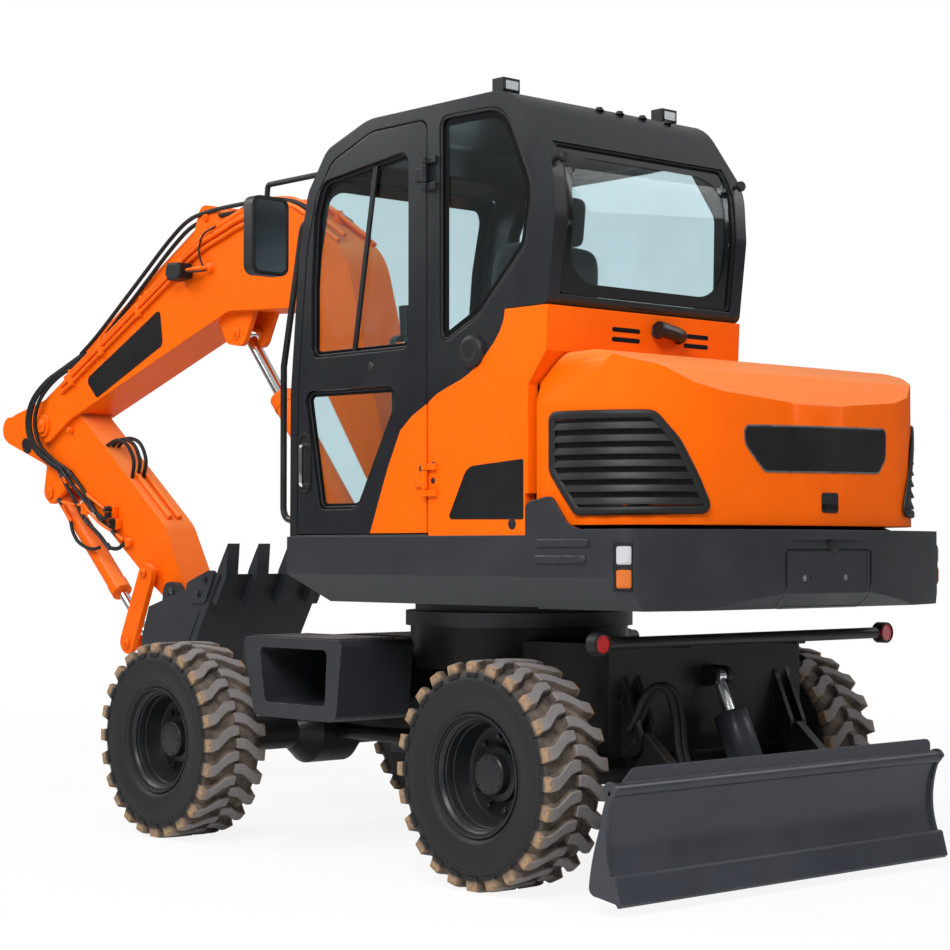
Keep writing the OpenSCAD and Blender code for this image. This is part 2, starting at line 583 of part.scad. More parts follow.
function right_window() = rounded([[-110, 1700, 60], [-700, 1700, 60], [-1150, cowl_top + 42 * cab_k, 80 * cab_k],
    [-1310, cowl_top + 52 * cab_k, 80 * cab_k], [-1320, cowl_top + 432 * cab_k, 120 * cab_k],
    [-1160, roof_z - 125, 120 * cab_k], [-250, roof_z - 135, 60], [-150, roof_z - 335, 60]]);
screen_z = [cab_base + 70, roof_z - 180];
rear_pane_z = [cowl_top + 40, roof_z - 208];
pane_edge = 58;

// Cab volume drawn in by t on every side
module cab_hull(t) side(cab_right + t, cab_left - t) polygon(rounded(inset(cab_outline(), t)));
module screen_box(g) translate([-300, cab_right + pane_edge + g, screen_z[0] + g])
    cube([500, cab_w - 2 * pane_edge - 2 * g, screen_z[1] - screen_z[0] - 2 * g]);
module rear_box(g) translate([cab_rear - 60, cab_right + pane_edge + g, rear_pane_z[0] + g])
    cube([300, cab_w - 2 * pane_edge - 2 * g, rear_pane_z[1] - rear_pane_z[0] - 2 * g]);

module cab_frame() color(dark) placed() difference() {
    union() {
        difference() {
            cab_hull(0);
            cab_hull(wall);
        }
        // catch that holds the open door
        pin_y([-1012, 1981], 42, cab_left - 10, cab_left + 22);
        door_hinge(hinge_z[1]);
    }
    side(cab_left - wall - 1, cab_left + 1) {
        polygon(door_outline(0));
        polygon(quarter_window());
        polygon(concat(panel_curve(), [[-1500, cowl_top], [-1500, cab_base - 1], [hinge_x, cab_base - 1]]));
    }
    side(cab_right - 1, cab_right + wall + 1) polygon(right_window());
    screen_box(0);
    rear_box(0);
}

// Fixed half of a door hinge: two knuckles on their leaves and the pin through the door's knuckle
hinge_z = [1480, 2640];
knuckle_h = 70;
knuckle_r = 13;
module door_hinge(z) {
    for (k = [z - 27, z + knuckle_h + 2]) {
        translate([hinge_pin.x, hinge_pin.y, k]) cylinder(h = 25, r = knuckle_r);
        translate([hinge_pin.x - 60, cab_left - 1, k]) cube([60, 14, 25]);
    }
    translate([hinge_pin.x, hinge_pin.y, z - 27]) cylinder(h = knuckle_h + 54, r = hinge_r);
}

// Panes sit a little inside the cab's outer faces
pane_in = 14;
module cab_glass() color(clear, 0.45) placed() {
    side(cab_left - pane_in - glass_t, cab_left - pane_in) polygon(quarter_window());
    side(cab_right + pane_in, cab_right + pane_in + glass_t) polygon(right_window());
    intersection() {
        difference() {
            cab_hull(pane_in);
            cab_hull(pane_in + glass_t);
        }
        union() {
            screen_box(0);
            rear_box(0);
        }
    }
}

// Orange side panel behind the door and the cowl under the rear window

function panel_curve() = [[hinge_x, 1808], [-800, 1836], [-880, 1865], [-940, 1884], [-990, 1907], [-1060, 1955],
    [-1120, 2010], [-1152, 2050], [-1172, 2090], [-1179, cowl_top]];
function cowl_rear() = [[hood_seam - 86, cowl_top], [hood_seam - 78, hood_top + 4], [hood_seam + 16, hood_top - 112]];
module cowl_form() polygon(concat(cowl_rear(), [[hood_seam + 60, hood_top - 112], [hood_seam - 20, hood_top],
    [hood_seam - 20, cowl_top]]));
module side_panel() color(orange) placed() {
    side(cab_left - wall, cab_left) polygon(concat(
        [for (p = panel_curve()) p - [p.x > hinge_x - 1 ? panel_gap : 0, 0.3]], cowl_rear(),
        [[hood_seam + 16, weight_top + 130], [deck_seam + seat_gap, weight_top + 130],
        [deck_seam + seat_gap, deck_top], [hinge_x - panel_gap, deck_top]]));
    side(cab_right, cab_left - wall + 1) cowl_form();
    door_hinge(hinge_z[0]);
    for (y = hood_hinges) hood_hinge(y);
}

// Covers over the tanks on the right of the boom and cab
cover_left = cab_right - 30;
function cover_outline() = [[95, deck_top, 0], [80, 1520, 60], [-70, 1650, 120], [-420, 1730, 200], [-640, 1880, 120],
    [deck_seam + seat_gap, 1930, 0], [deck_seam + seat_gap, deck_top, 0]];
module cover_form(t) side(-deck_y + 8 + t, cover_left - t) polygon(rounded(inset(cover_outline(), t)));
module right_cover() color(orange) placed() cover_form(0);

// Seat on its base, consoles with levers, steering column and pedals
seat_x = -640;
seat_y = (cab_left + cab_right) / 2;
floor_z = cab_base + wall;
module seat() color("#2a2b2e") placed() translate([seat_x, seat_y, floor_z]) {
    translate([-230, -210, 0]) cube([440, 420, 330]);
    translate([-260, -255, 330]) cube([540, 510, 120]);
    side(-245, 245) polygon(rounded([[-250, 440, 20], [-130, 440, 20], [-210, 1080, 40], [-330, 1080, 40]]));
    side(-130, 130) polygon(rounded([[-300, 1075, 0], [-225, 1075, 0], [-240, 1270, 30], [-330, 1270, 30]]));
}
module controls() color(black) placed() translate([seat_x, seat_y, floor_z]) {
    for (s = [-1, 1]) translate([0, s * 330, 0]) {
        translate([-160, -50, 0]) cube([420, 100, 560]);
        bar([200, 0, 550], [230, 0, 760], 12);
        bar([230, 0, 740], [240, 0, 860], 24);
    }
    bar([558, 0, 9], [430, 0, 700], 45);
    translate([430, 0, 700]) rotate([0, -25, 0]) rotate_extrude() translate([185, 0]) circle(r = 14);
    for (a = [0, 120, 240]) translate([430, 0, 700]) rotate([0, -25, 0]) rotate([0, 90, a]) cylinder(h = 185, r = 10);
    for (s = [-1, 1]) translate([520, s * 120 - 45, 0]) cube([130, 90, 70]);
}

// Mirrors on their stalks, rails and lamps
mirror_half = 165;
mirror_left = [350, 838, 2560];
mirror_right = [150, -838, 2120];
module mirror_head(p) translate(p) cross(-30, 30) polygon(rounded([[-95, -mirror_half, 40], [95, -mirror_half, 40],
    [95, mirror_half, 40], [-95, mirror_half, 40]]));
module off_cab() difference() {
    children();
    cab_hull(-seat_gap);
}
module off_cover() difference() {
    children();
    cover_form(-seat_gap);
}
module mirrors() color(black) placed() {
    mirror_head(mirror_left);
    off_cab() tube_path(bend([[-120, cab_left - 40, 2768], [340, 838, 2775],
        mirror_left + [-5, 0, mirror_half + seat_gap]], 18), 12);
    mirror_head(mirror_right);
    off_cover() tube_path(bend([[60, -780, 1490], [130, -780, 1800], [150, -838, 1890],
        mirror_right - [0, 0, mirror_half + seat_gap]], 25), 12);
}
module handrails() color(black) placed() {
    off_cab() tube_path(bend([[-90, cab_left - 22, 2590], [40, cab_left - 20, 2575], [165, cab_left - 20, 2000],
        [165, cab_left - 20, 1372], [50, cab_left - 20, 1372]], 50), 14);
    off_cover() tube_path(bend([[60, -deck_y + 60, 1490], [20, -deck_y + 60, 2000], [-430, -deck_y + 60, 2050],
        [-440, -deck_y + 60, 1700]], 70), 14);
}
module work_lamps() color(dark) placed() for (y = [cab_left - 90, cab_right + 90])
    translate([-1090, y, roof_z]) {
        cylinder(h = 20, r = 14);
        translate([-30, -42, 8]) cube([60, 84, 52]);
    }

// Boundary between the dark door frame and its orange lower rear corner
function corner_curve() = [[-403, cab_base - 10], [-460, 1430], [-520, 1570], [-593, 1709], [-660, 1760], [hinge_x - 20, 1815]];
module corner_region(g) polygon(concat([for (p = corner_curve()) p - [g, 0]], [[hinge_x - 20, cab_base - 10]]));
door_in = cab_left - wall + 5;

module door() color(dark) placed() {
    difference() {
        side(door_in, cab_left) polygon(door_outline(panel_gap));
        side(door_in - 1, cab_left + 1) {
            polygon(upper_pane());
            polygon(lower_pane());
            corner_region(0);
        }
    }
    door_knuckle(hinge_z[1]);
}
module door_knuckle(z) difference() {
    union() {
        translate([hinge_pin.x, hinge_pin.y, z]) cylinder(h = knuckle_h, r = knuckle_r);
        translate([hinge_pin.x, cab_left - 1, z + 10]) cube([60, 14, 50]);
    }
    translate([hinge_pin.x, hinge_pin.y, z - 1]) cylinder(h = knuckle_h + 2, r = hinge_r + pin_gap);
}
module door_corner() color(orange) placed() {
    intersection() {
        side(door_in, cab_left) polygon(door_outline(panel_gap));
        side(door_in - 1, cab_left + 1) corner_region(seat_gap);
    }
    door_knuckle(hinge_z[0]);
}
module door_glass() color(clear, 0.45) placed() {
    side(door_in + 14, door_in + 14 + glass_t) polygon(upper_pane());
    side(door_in + 14, door_in + 14 + glass_t) polygon(lower_pane());
}
module door_handle() color(chrome) placed()
    tube_path(bend([[handle_x, cab_left + seat_gap, 1670], [handle_x, cab_left + 22, 1670], [handle_x, cab_left + 22, 1510],
        [handle_x, cab_left + seat_gap, 1510]], 10), 9, [1, 0, 0]);
handle_x = -4;
hinge_pin = [hinge_x, cab_left + 14];

// Swing post, boom, arm, bucket and their linkage

foot_pin_r = 32;
post_half = boom_w / 2 + side_gap;
post_t = 34;
arm_pin_r = 40;
arm_cyl_r = 58;
arm_lug = arm_cyl_r + 4;
bucket_cyl_r = 52;
bucket_lug = bucket_cyl_r + 4;

module swing_post() color(charcoal) placed() {
    translate([swing_pin.x, swing_pin.y, deck_low + 44 + side_gap])
        cylinder(h = deck_top - deck_low - 88 - 2 * side_gap, r = 92);
    translate([swing_pin.x, swing_pin.y, deck_low - 10]) cylinder(h = deck_top - deck_low + 20, r = 40);
    // block in front of the pivot and the two cheeks
    translate([swing_pin.x + 20, boom_y - post_half - post_t, deck_low + 48])
        cube([150, 2 * (post_half + post_t), deck_top - deck_low - 96]);
    cheek = rounded([[swing_pin.x + 110, deck_low + 48, 0], [boom_cyl_base.x + 70, boom_cyl_base.y - 68, 60],
        [boom_cyl_base.x + 60, boom_cyl_base.y + 75, 60], [boom_foot.x + 95, boom_foot.y + 80, 85],
        [boom_foot.x - 95, boom_foot.y + 80, 85], [swing_pin.x + 110, deck_top + 20, 40]]);
    for (s = [-1, 1]) side(boom_y + (s > 0 ? post_half : -post_half - post_t),
        boom_y + (s > 0 ? post_half + post_t : -post_half)) polygon(cheek);
    pin_y(boom_foot, foot_pin_r, boom_y - post_half - post_t - 8, boom_y + post_half + post_t + 8);
    pin_y(boom_cyl_base, 28, boom_y - post_half - 1, boom_y + post_half + 1);
}

function boom_outline() = rounded([for (q = [[-60, -80, 52], [512, 485, 300], [760, 860, 120], [1362, 790, 120],
    [2744, 68, 200], [2960, -100, 90], [3095, -60, 80], [3040, 130, 60], [1660, 1135, 500], [1300, 1300, 250],
    [960, 1345, 300], [473, 1160, 300], [246, 703, 400], [-85, 70, 80]])
    let (p = boom_at(q.x, q.y)) [p.x, p.y, q.z]]);

module boom() color(orange) placed() difference() {
    union() {
        side(boom_y - boom_w / 2, boom_y + boom_w / 2) polygon(boom_outline());
        // lugs of the boom cylinder's rod below and of the arm cylinder above
        for (s = [-1, 1]) {
            side(boom_y + (s > 0 ? 52 : -80), boom_y + (s > 0 ? 80 : -52))
                polygon(rounded([for (q = [[1336 - 150, 860, 0], [1336 - 70, 681 - 60, 60], [1336 + 70, 681 - 60, 60],
                    [1336 + 190, 760, 0]]) let (p = boom_at(q.x, q.y)) [p.x, p.y, q.z]]));
            side(boom_y + (s > 0 ? arm_lug : -arm_lug - 28), boom_y + (s > 0 ? arm_lug + 28 : -arm_lug))
                polygon(rounded([for (q = [[1682 - 170, 1180, 0], [1682 + 130, 1020, 0], [1682 + 60, 1250 + 60, 55],
                    [1682 - 60, 1250 + 60, 55]]) let (p = boom_at(q.x, q.y)) [p.x, p.y, q.z]]));
        }
        pin_y(arm_cyl_base, 26, boom_y - arm_lug - 34, boom_y + arm_lug + 34);
        pin_y(arm_pin, 62, boom_y - boom_w / 2 - 14, boom_y + boom_w / 2 + 14);
    }
    pin_y(boom_foot, foot_pin_r + pin_gap, boom_y - boom_w, boom_y + boom_w);
    // pocket between the lugs for the rod's eye
    pin_y(boom_cyl_eye, 175, boom_y - 53, boom_y + 53);
    // bore and fork for the arm
    pin_y(arm_pin, arm_pin_r + pin_gap, boom_y - boom_w, boom_y + boom_w);
    side(boom_y - arm_w / 2 - side_gap - 3, boom_y + arm_w / 2 + side_gap + 3)
        polygon([for (q = [[2600, -300], [3300, -300], [3300, 400], [2690, 400]]) boom_at(q.x, q.y)]);
}

module boom_barrel() color(orange) placed()
    barrel(boom_cyl_base, boom_cyl_eye, boom_y, 62, 30, 1130, 90, 52, 28 + pin_gap);
module boom_rod() color(chrome) placed()
    rod(boom_cyl_base, boom_cyl_eye, boom_y, 30, 660, 96, 50);

function arm_outline() = rounded([for (q = [[-70, -60, 62], [225, -95, 200], [1150, -120, 300], [1480, -200, 200],
    [1890, -335, 68], [1985, -270, 68], [1900, -150, 60], [1660, 120, 120], [1480, 236, 100], [300, 222, 200],
    [-60, 75, 70]]) let (p = arm_at(q.x, q.y)) [p.x, p.y, q.z]]);

module arm() color(orange) placed() {
    difference() {
        union() {
            side(boom_y - arm_w / 2, boom_y + arm_w / 2) polygon(arm_outline());
            for (s = [-1, 1]) side(boom_y + (s > 0 ? bucket_lug : -bucket_lug - 26), boom_y + (s > 0 ? bucket_lug + 26 : -bucket_lug))
                polygon(rounded([for (q = [[1336 - 160, -110, 0], [1336 - 52, -302 - 52, 50], [1336 + 52, -302 - 52, 50],
                    [1336 + 150, -150, 0]]) let (p = arm_at(q.x, q.y)) [p.x, p.y, q.z]]));
            pin_y(bucket_pin, 72, boom_y - arm_w / 2, boom_y + arm_w / 2);
            pin_y(rocker_pin, 26, boom_y - rocker_y - 38, boom_y + rocker_y + 38);
            pin_y(bucket_cyl_base, 24, boom_y - bucket_lug - 32, boom_y + bucket_lug + 32);
            pin_y(arm_tail, tail_boss_r, boom_y - arm_w / 2, boom_y + arm_w / 2);
            pin_y(arm_pin, arm_pin_r, boom_y - boom_w / 2 - 20, boom_y + boom_w / 2 + 20);
        }
        pin_y(bucket_pin, 30 + pin_gap, boom_y - boom_w, boom_y + boom_w);
        // fork for the arm cylinder's rod
        side(boom_y - 38, boom_y + 38)
            polygon([for (q = [[1690, -500], [2100, -500], [2100, 300], [1690, 300]]) arm_at(q.x, q.y)]);
    }
}

module arm_barrel() color(orange) placed()
    barrel(arm_cyl_base, arm_tail, boom_y, arm_cyl_r, 28, 1440, 2 * (arm_lug - side_gap), 50, 26 + pin_gap);
module arm_rod() color(chrome) placed() rod(arm_cyl_base, arm_tail, boom_y, 28, 1180, 68, 50);

module bucket_barrel() color(orange) placed()
    barrel(bucket_cyl_base, rocker_eye, boom_y, bucket_cyl_r, 25, 820, 2 * (bucket_lug - side_gap), 46, 24 + pin_gap);
module bucket_rod() color(chrome) placed() rod(bucket_cyl_base, rocker_eye, boom_y, 25, 400, 60, 44);

ear_y = arm_w / 2 + side_gap + 1;
ear_t = 28;
rocker_y = ear_y + ear_t + 2 * side_gap;
module rocker() color(orange) placed() {
    for (s = [-1, 1]) difference() {
        side(boom_y + (s > 0 ? rocker_y : -rocker_y - 30), boom_y + (s > 0 ? rocker_y + 30 : -rocker_y))
            polygon(rounded([for (q = [[225 + 60, -31 + 60, 56], [225 - 66, -31 + 50, 56], [127 - 66, -426 - 50, 56],
                [127 + 60, -426 - 58, 56]]) let (p = arm_at(q.x, q.y)) [p.x, p.y, q.z]]));
        pin_y(rocker_pin, 26 + pin_gap, boom_y - boom_w, boom_y + boom_w);
    }
    for (s = [-1, 1]) pin_y(rocker_eye, 24, boom_y + (s > 0 ? 34 : -rocker_y - 36), boom_y + (s > 0 ? rocker_y + 36 : -34));
}

link_r = 42;
// Flat strap round two pins, with round ends of radius r
function strap(a, b, r) = let (d = r * unit(b - a), n = [-d.y, d.x])
    rounded([for (p = [a - d - n, b + d - n, b + d + n, a - d + n]) [p.x, p.y, 0.98 * r]], 9);
module bucket_link() color(orange) placed() for (s = [-1, 1]) difference() {
    side(boom_y + (s > 0 ? 38 : -86), boom_y + (s > 0 ? 86 : -38)) polygon(strap(rocker_eye, link_eye, link_r));
    pin_y(rocker_eye, 24 + pin_gap, boom_y - boom_w, boom_y + boom_w);
}

teeth = 4;
function bucket_outline() = rounded([for (q = [[-92, -60, 0], [-707, 110, 0], [-478, -262, 150], [-330, -560, 180],
    [-90, -540, 160], [-20, -250, 120]]) let (p = bucket_at(q.x, q.y)) [p.x, p.y, q.z]]);

module bucket() color(charcoal) placed() {
    difference() {
        side(boom_y - bucket_w / 2, boom_y + bucket_w / 2) polygon(bucket_outline());
        side(boom_y - bucket_w / 2 + bucket_t, boom_y + bucket_w / 2 - bucket_t)
            polygon(rounded([for (q = [[-160, 60, 0], [-740, 230, 0], [-461, -252, 140], [-322, -540, 162],
                [-102, -520, 142], [-40, -254, 100]]) let (p = bucket_at(q.x, q.y)) [p.x, p.y, q.z]]));
    }
    for (s = [-1, 1]) side(boom_y + (s > 0 ? ear_y : -ear_y - ear_t), boom_y + (s > 0 ? ear_y + ear_t : -ear_y))
        polygon(rounded([for (q = [[-110, -42, 0], [-35, -252, 0], [-66, -400, 0], [60, -330, 50], [96, -240, 60],
            [70, 62, 60], [-66, 62, 60]]) let (p = bucket_at(q.x, q.y)) [p.x, p.y, q.z]]));
    pin_y(bucket_pin, 30, boom_y - ear_y - ear_t - 8, boom_y + ear_y + ear_t + 8);
    for (s = [-1, 1]) pin_y(link_eye, 24, boom_y + (s > 0 ? ear_y - 8 : -ear_y - ear_t - 8),
        boom_y + (s > 0 ? ear_y + ear_t + 8 : 8 - ear_y));
    // teeth on the lip, and the side cutters
    for (i = [0 : teeth - 1]) let (y = boom_y + (i / (teeth - 1) - 0.5) * (bucket_w - 90))
        side(y - 36, y + 36) polygon([for (q = [[-760, 260], [-745, 95], [-660, -45], [-612, -20], [-680, 135]])
            bucket_at(q.x, q.y)]);
    for (s = [-1, 1]) side(boom_y + (s > 0 ? bucket_w / 2 - bucket_t : -bucket_w / 2 - 12),
        boom_y + (s > 0 ? bucket_w / 2 + 12 : bucket_t - bucket_w / 2))
        polygon(rounded([for (q = [[-690, 150, 30], [-600, -30, 30], [-470, -40, 40], [-430, 62, 30]])
            let (p = bucket_at(q.x, q.y)) [p.x, p.y, q.z]]));
}

chassis_frame();
slewing_ring();
step_boxes();
front_axle();
rear_axle();
drive_line();
tail_lamp_bar();
tail_reflectors();
knuckle_left();
knuckle_right();
tyre_front_left();
tyre_front_right();
tyre_rear_left();
tyre_rear_right();
wheel_front_left();
wheel_front_right();
wheel_rear_left();
wheel_rear_right();
blade();
blade_barrel();
blade_rod();
deck();
counterweight();
tail_lamps();
hood();
hood_louvres();
exhaust();
engine_block();
cab_frame();
cab_glass();
side_panel();
right_cover();
seat();
controls();
mirrors();
handrails();
work_lamps();
door();
door_corner();
door_glass();
door_handle();
swing_post();
boom();
boom_barrel();
boom_rod();
arm();
arm_barrel();
arm_rod();
bucket();
bucket_barrel();
bucket_rod();
rocker();
bucket_link();
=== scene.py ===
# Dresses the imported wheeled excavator: camera, light, materials and the finer pieces.
import math

import bmesh
import bpy
from mathutils import Matrix, Vector
from mathutils.bvhtree import BVHTree


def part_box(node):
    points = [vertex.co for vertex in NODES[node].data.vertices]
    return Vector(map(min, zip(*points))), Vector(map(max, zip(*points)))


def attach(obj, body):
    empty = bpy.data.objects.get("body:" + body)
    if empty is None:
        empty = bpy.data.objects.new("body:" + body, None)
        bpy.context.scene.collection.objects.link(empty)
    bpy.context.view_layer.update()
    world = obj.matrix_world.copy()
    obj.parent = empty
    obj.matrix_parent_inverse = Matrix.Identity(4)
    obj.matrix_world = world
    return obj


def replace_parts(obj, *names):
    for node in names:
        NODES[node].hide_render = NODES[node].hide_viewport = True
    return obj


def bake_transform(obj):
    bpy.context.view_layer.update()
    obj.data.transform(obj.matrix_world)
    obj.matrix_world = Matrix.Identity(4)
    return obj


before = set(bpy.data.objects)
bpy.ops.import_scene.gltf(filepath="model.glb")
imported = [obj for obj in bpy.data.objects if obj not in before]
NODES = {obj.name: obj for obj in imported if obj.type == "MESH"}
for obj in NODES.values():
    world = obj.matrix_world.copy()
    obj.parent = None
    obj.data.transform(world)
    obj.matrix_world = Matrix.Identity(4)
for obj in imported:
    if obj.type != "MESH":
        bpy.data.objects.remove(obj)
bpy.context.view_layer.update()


def centre(node):
    lo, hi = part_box(node)
    return Vector([(a + b) / 2 for a, b in zip(lo, hi)])


# The source measures x from midway between the axles; at() takes its millimetres
MID_X = (centre("tyre_front_left").x + centre("tyre_rear_left").x) / 2
BOOM_Y = centre("boom").y * 1000


def at(x, y, z):
    return Vector((x / 1000 + MID_X, y / 1000, z / 1000))


# Camera and light

SENSOR, LENS, CLIP_END = 36.0, 83.08, 100
CAMERA_AT = at(-6977.2, 6341.4, 1258.8)
YAW, PITCH = math.radians(-42.372), math.radians(1.908)


def make_camera():
    data = bpy.data.cameras.new("camera")
    data.sensor_width, data.lens, data.clip_end = SENSOR, LENS, CLIP_END
    cam = bpy.data.objects.new("camera", data)
    bpy.context.collection.objects.link(cam)
    cam.location = CAMERA_AT
    aim = Vector((math.cos(YAW) * math.cos(PITCH), math.sin(YAW) * math.cos(PITCH), math.sin(PITCH)))
    cam.rotation_euler = aim.to_track_quat("-Z", "Y").to_euler()
    bpy.context.scene.camera = cam


def area_light(name, spot, target, size, power):
    data = bpy.data.lights.new(name, "AREA")
    data.shape = "RECTANGLE"
    data.size, data.size_y = size
    data.energy = power
    lamp = bpy.data.objects.new(name, data)
    bpy.context.collection.objects.link(lamp)
    lamp.location = spot
    lamp.rotation_euler = (target - spot).to_track_quat("-Z", "Y").to_euler()


# Shader nodes

def wire(value, socket):
    """Links an output to an input, or sets the input to a plain value."""
    if isinstance(value, bpy.types.NodeSocket):
        socket.id_data.links.new(value, socket)
    else:
        socket.default_value = value


def fill(made, **values):
    for key, value in values.items():
        wire(value, made.inputs[key.replace("_", " ")])
    return made


def part(tree, kind, operation=None, **values):
    """Shader node with its operation and what goes into its inputs."""
    made = tree.nodes.new("ShaderNode" + kind)
    if operation:
        made.operation = operation
    return fill(made, **values)


def worked(kind, operation, *values):
    made = part(values[0].id_data, kind, operation)
    for value, socket in zip(values, made.inputs):
        wire(value, socket)
    return made


def times(a, b):
    return worked("Math", "MULTIPLY", a, b).outputs[0]


def mapped(value, low, high, to_low=0.0, to_high=1.0):
    limits = {"From_Min": low, "From_Max": high, "To_Min": to_low, "To_Max": to_high}
    return part(value.id_data, "MapRange", Value=value, **limits).outputs[0]


def axis_of(vector, axis):
    return part(vector.id_data, "SeparateXYZ", Vector=vector).outputs[axis]


def noise(coords, scale, detail, rough):
    return part(coords.id_data, "TexNoise", Vector=coords, Scale=scale, Detail=detail, Roughness=rough).outputs["Fac"]


def waves(coords, direction, scale, distortion):
    made = part(coords.id_data, "TexWave", Vector=coords, Scale=scale, Distortion=distortion)
    made.bands_direction = direction
    return made.outputs["Fac"]


def bumped(height, strength, distance, **more):
    return part(height.id_data, "Bump", Height=height, Strength=strength, Distance=distance, **more).outputs[0]


def blend_colours(factor, first, second):
    mix = part(factor.id_data, "Mix")
    mix.data_type = "RGBA"
    for socket, value in (("Factor_Float", factor), ("A_Color", first), ("B_Color", second)):
        wire(value, next(s for s in mix.inputs if s.identifier == socket))
    return next(s for s in mix.outputs if s.identifier == "Result_Color")


def seen_directly(tree):
    """One for rays from the camera, also through glass."""
    path = part(tree, "LightPath").outputs
    return worked("Math", "MAXIMUM", path["Is Camera Ray"], path["Is Transmission Ray"]).outputs[0]


def mix_shaders(factor, first, second, out):
    mix = part(factor.id_data, "MixShader")
    for value, socket in zip((factor, first.outputs[0], second.outputs[0]), mix.inputs):
        wire(value, socket)
    wire(mix.outputs[0], out.inputs["Surface"])


def fresh(name):
    mat = bpy.data.materials.new(name)
    mat.use_nodes = True
    return mat


STUDIO_LEVELS = ((0.0, 0.20), (0.47, 0.25), (0.58, 0.34), (0.75, 1.0), (1.0, 1.35))
STUDIO_POWER = 0.42
WHITE = (1, 1, 1, 1)


def make_world():
    """Studio that is bright above, dim at the horizon and dark below, and white to the camera."""
    world = bpy.data.worlds.new("studio")
    bpy.context.scene.world = world
    world.use_nodes = True
    tree = world.node_tree
    tree.nodes.clear()
    height = axis_of(part(tree, "TexCoord").outputs["Generated"], "Z")
    ramp = part(tree, "ValToRGB", Fac=mapped(height, -1, 1))
    stops = ramp.color_ramp.elements
    stops[0].position, stops[1].position = STUDIO_LEVELS[0][0], STUDIO_LEVELS[-1][0]
    for place, _ in STUDIO_LEVELS[1:-1]:
        stops.new(place)
    for stop, (_, level) in zip(stops, STUDIO_LEVELS):
        stop.color = (level, level, level * 1.01, 1)
    light = part(tree, "Background", Color=ramp.outputs["Color"], Strength=STUDIO_POWER)
    shown = part(tree, "Background", Color=WHITE, Strength=1.0)
    mix_shaders(seen_directly(tree), light, shown, part(tree, "OutputWorld"))


FLOOR_HALF = 40
FADE_FROM, FADE_TO, FADE_LEAST = 2.0, 7.5, 0.88


def make_floor():
    """Floor that keeps its shadow near the machine and fades into the white backdrop away from it."""
    s = FLOOR_HALF
    mesh = bpy.data.meshes.new("floor")
    mesh.from_pydata([(-s, -s, 0), (s, -s, 0), (s, s, 0), (-s, s, 0)], [], [(0, 1, 2, 3)])
    floor = bpy.data.objects.new("floor", mesh)
    bpy.context.collection.objects.link(floor)
    mat = fresh("pale_floor")
    tree = mat.node_tree
    tree.nodes.clear()
    grain = part(tree, "TexNoise", Scale=3.0).outputs["Fac"]
    lit = part(tree, "BsdfDiffuse", Color=mapped(grain, 0, 1, 0.80, 0.84))
    glow = part(tree, "Emission", Color=WHITE, Strength=1.0)
    far = worked("VectorMath", "LENGTH", part(tree, "NewGeometry").outputs["Position"]).outputs["Value"]
    fade = mapped(far, FADE_FROM, FADE_TO, FADE_LEAST, 1.0)
    mix_shaders(times(seen_directly(tree), fade), lit, glow, part(tree, "OutputMaterial"))
    mesh.materials.append(mat)


bpy.context.scene.view_settings.view_transform = "Standard"
make_camera()
make_world()
make_floor()
AIM = at(-300, 0, 1300)
area_light("key", at(-4200, 6000, 6400), AIM, (4.5, 3.5), 640)
area_light("fill", at(-4800, -5600, 5600), AIM, (4.0, 3.0), 120)
area_light("rim", at(5200, 3400, 5600), at(1500, 0, 1500), (3.0, 3.0), 220)


# Materials

DUST = (0.30, 0.235, 0.17, 1)
BARE = (0.32, 0.31, 0.30, 1)
# Light peach mixed into upward faces: a painted highlight standing in for the sheen of light from above
SHEEN_COLOUR = (0.97, 0.33, 0.10, 1)


def scaled(colour, k):
    return tuple(min(1.0, c * k) for c in colour) + (1,)


def opened(mat):
    """A material's main shader, and the place on the piece."""
    return mat.node_tree.nodes["Principled BSDF"], part(mat.node_tree, "TexCoord").outputs["Object"]


def surface(name, base, vary, rough, rough_vary, scale=5.0, metallic=0.0, coat=0.0, grain=0.0, grain_scale=260.0,
            dust=0.0, wear=0.0, edge=0.004, specular=0.3, painted_sheen=0.0):
    """Painted, moulded or bare: clouded colour and gloss, fine grain, dust from above, a painted highlight on upward
    faces, worn edges.
    """
    mat = fresh(name)
    bsdf, coords = opened(mat)
    fill(bsdf, Metallic=metallic, Coat_Weight=coat, Coat_Roughness=0.08, Specular_IOR_Level=specular)
    cloud = noise(coords, scale, 6.0, 0.6)
    colour = blend_colours(mapped(cloud, 0.3, 0.7), scaled(base, 1 - vary), scaled(base, 1 + vary))
    facing = part(mat.node_tree, "NewGeometry").outputs["Normal"]
    round_edge = part(mat.node_tree, "Bevel", Radius=edge)
    round_edge.samples = 4
    normal = round_edge.outputs[0]
    if wear:
        flat = worked("VectorMath", "DOT_PRODUCT", normal, facing).outputs["Value"]
        chips = mapped(noise(coords, 38.0, 5.0, 0.7), 0.50, 0.64)
        mask = times(mapped(flat, 0.985, 0.90), chips)
        colour = blend_colours(times(mask, wear), colour, BARE)
    # Painted highlight: upward faces are mixed towards a light peach, in place of the sheen that light from above gives
    # them
    if painted_sheen:
        upward = mapped(axis_of(facing, "Z"), 0.30, 0.98)
        colour = blend_colours(times(upward, painted_sheen), colour, SHEEN_COLOUR)
    if dust:
        drift = mapped(noise(coords, 2.6, 9.0, 0.68), 0.38, 0.72)
        mask = times(mapped(axis_of(facing, "Z"), -0.3, 1.0, 0.25, 1.0), drift)
        colour = blend_colours(times(mask, dust), colour, DUST)
    gloss = mapped(cloud, 0.3, 0.7, rough - rough_vary, rough + rough_vary)
    if grain:
        normal = bumped(noise(coords, grain_scale, 3.0, 0.6), grain, 0.001, Normal=normal)
    fill(bsdf, Base_Color=colour, Roughness=gloss, Normal=normal)
    return mat


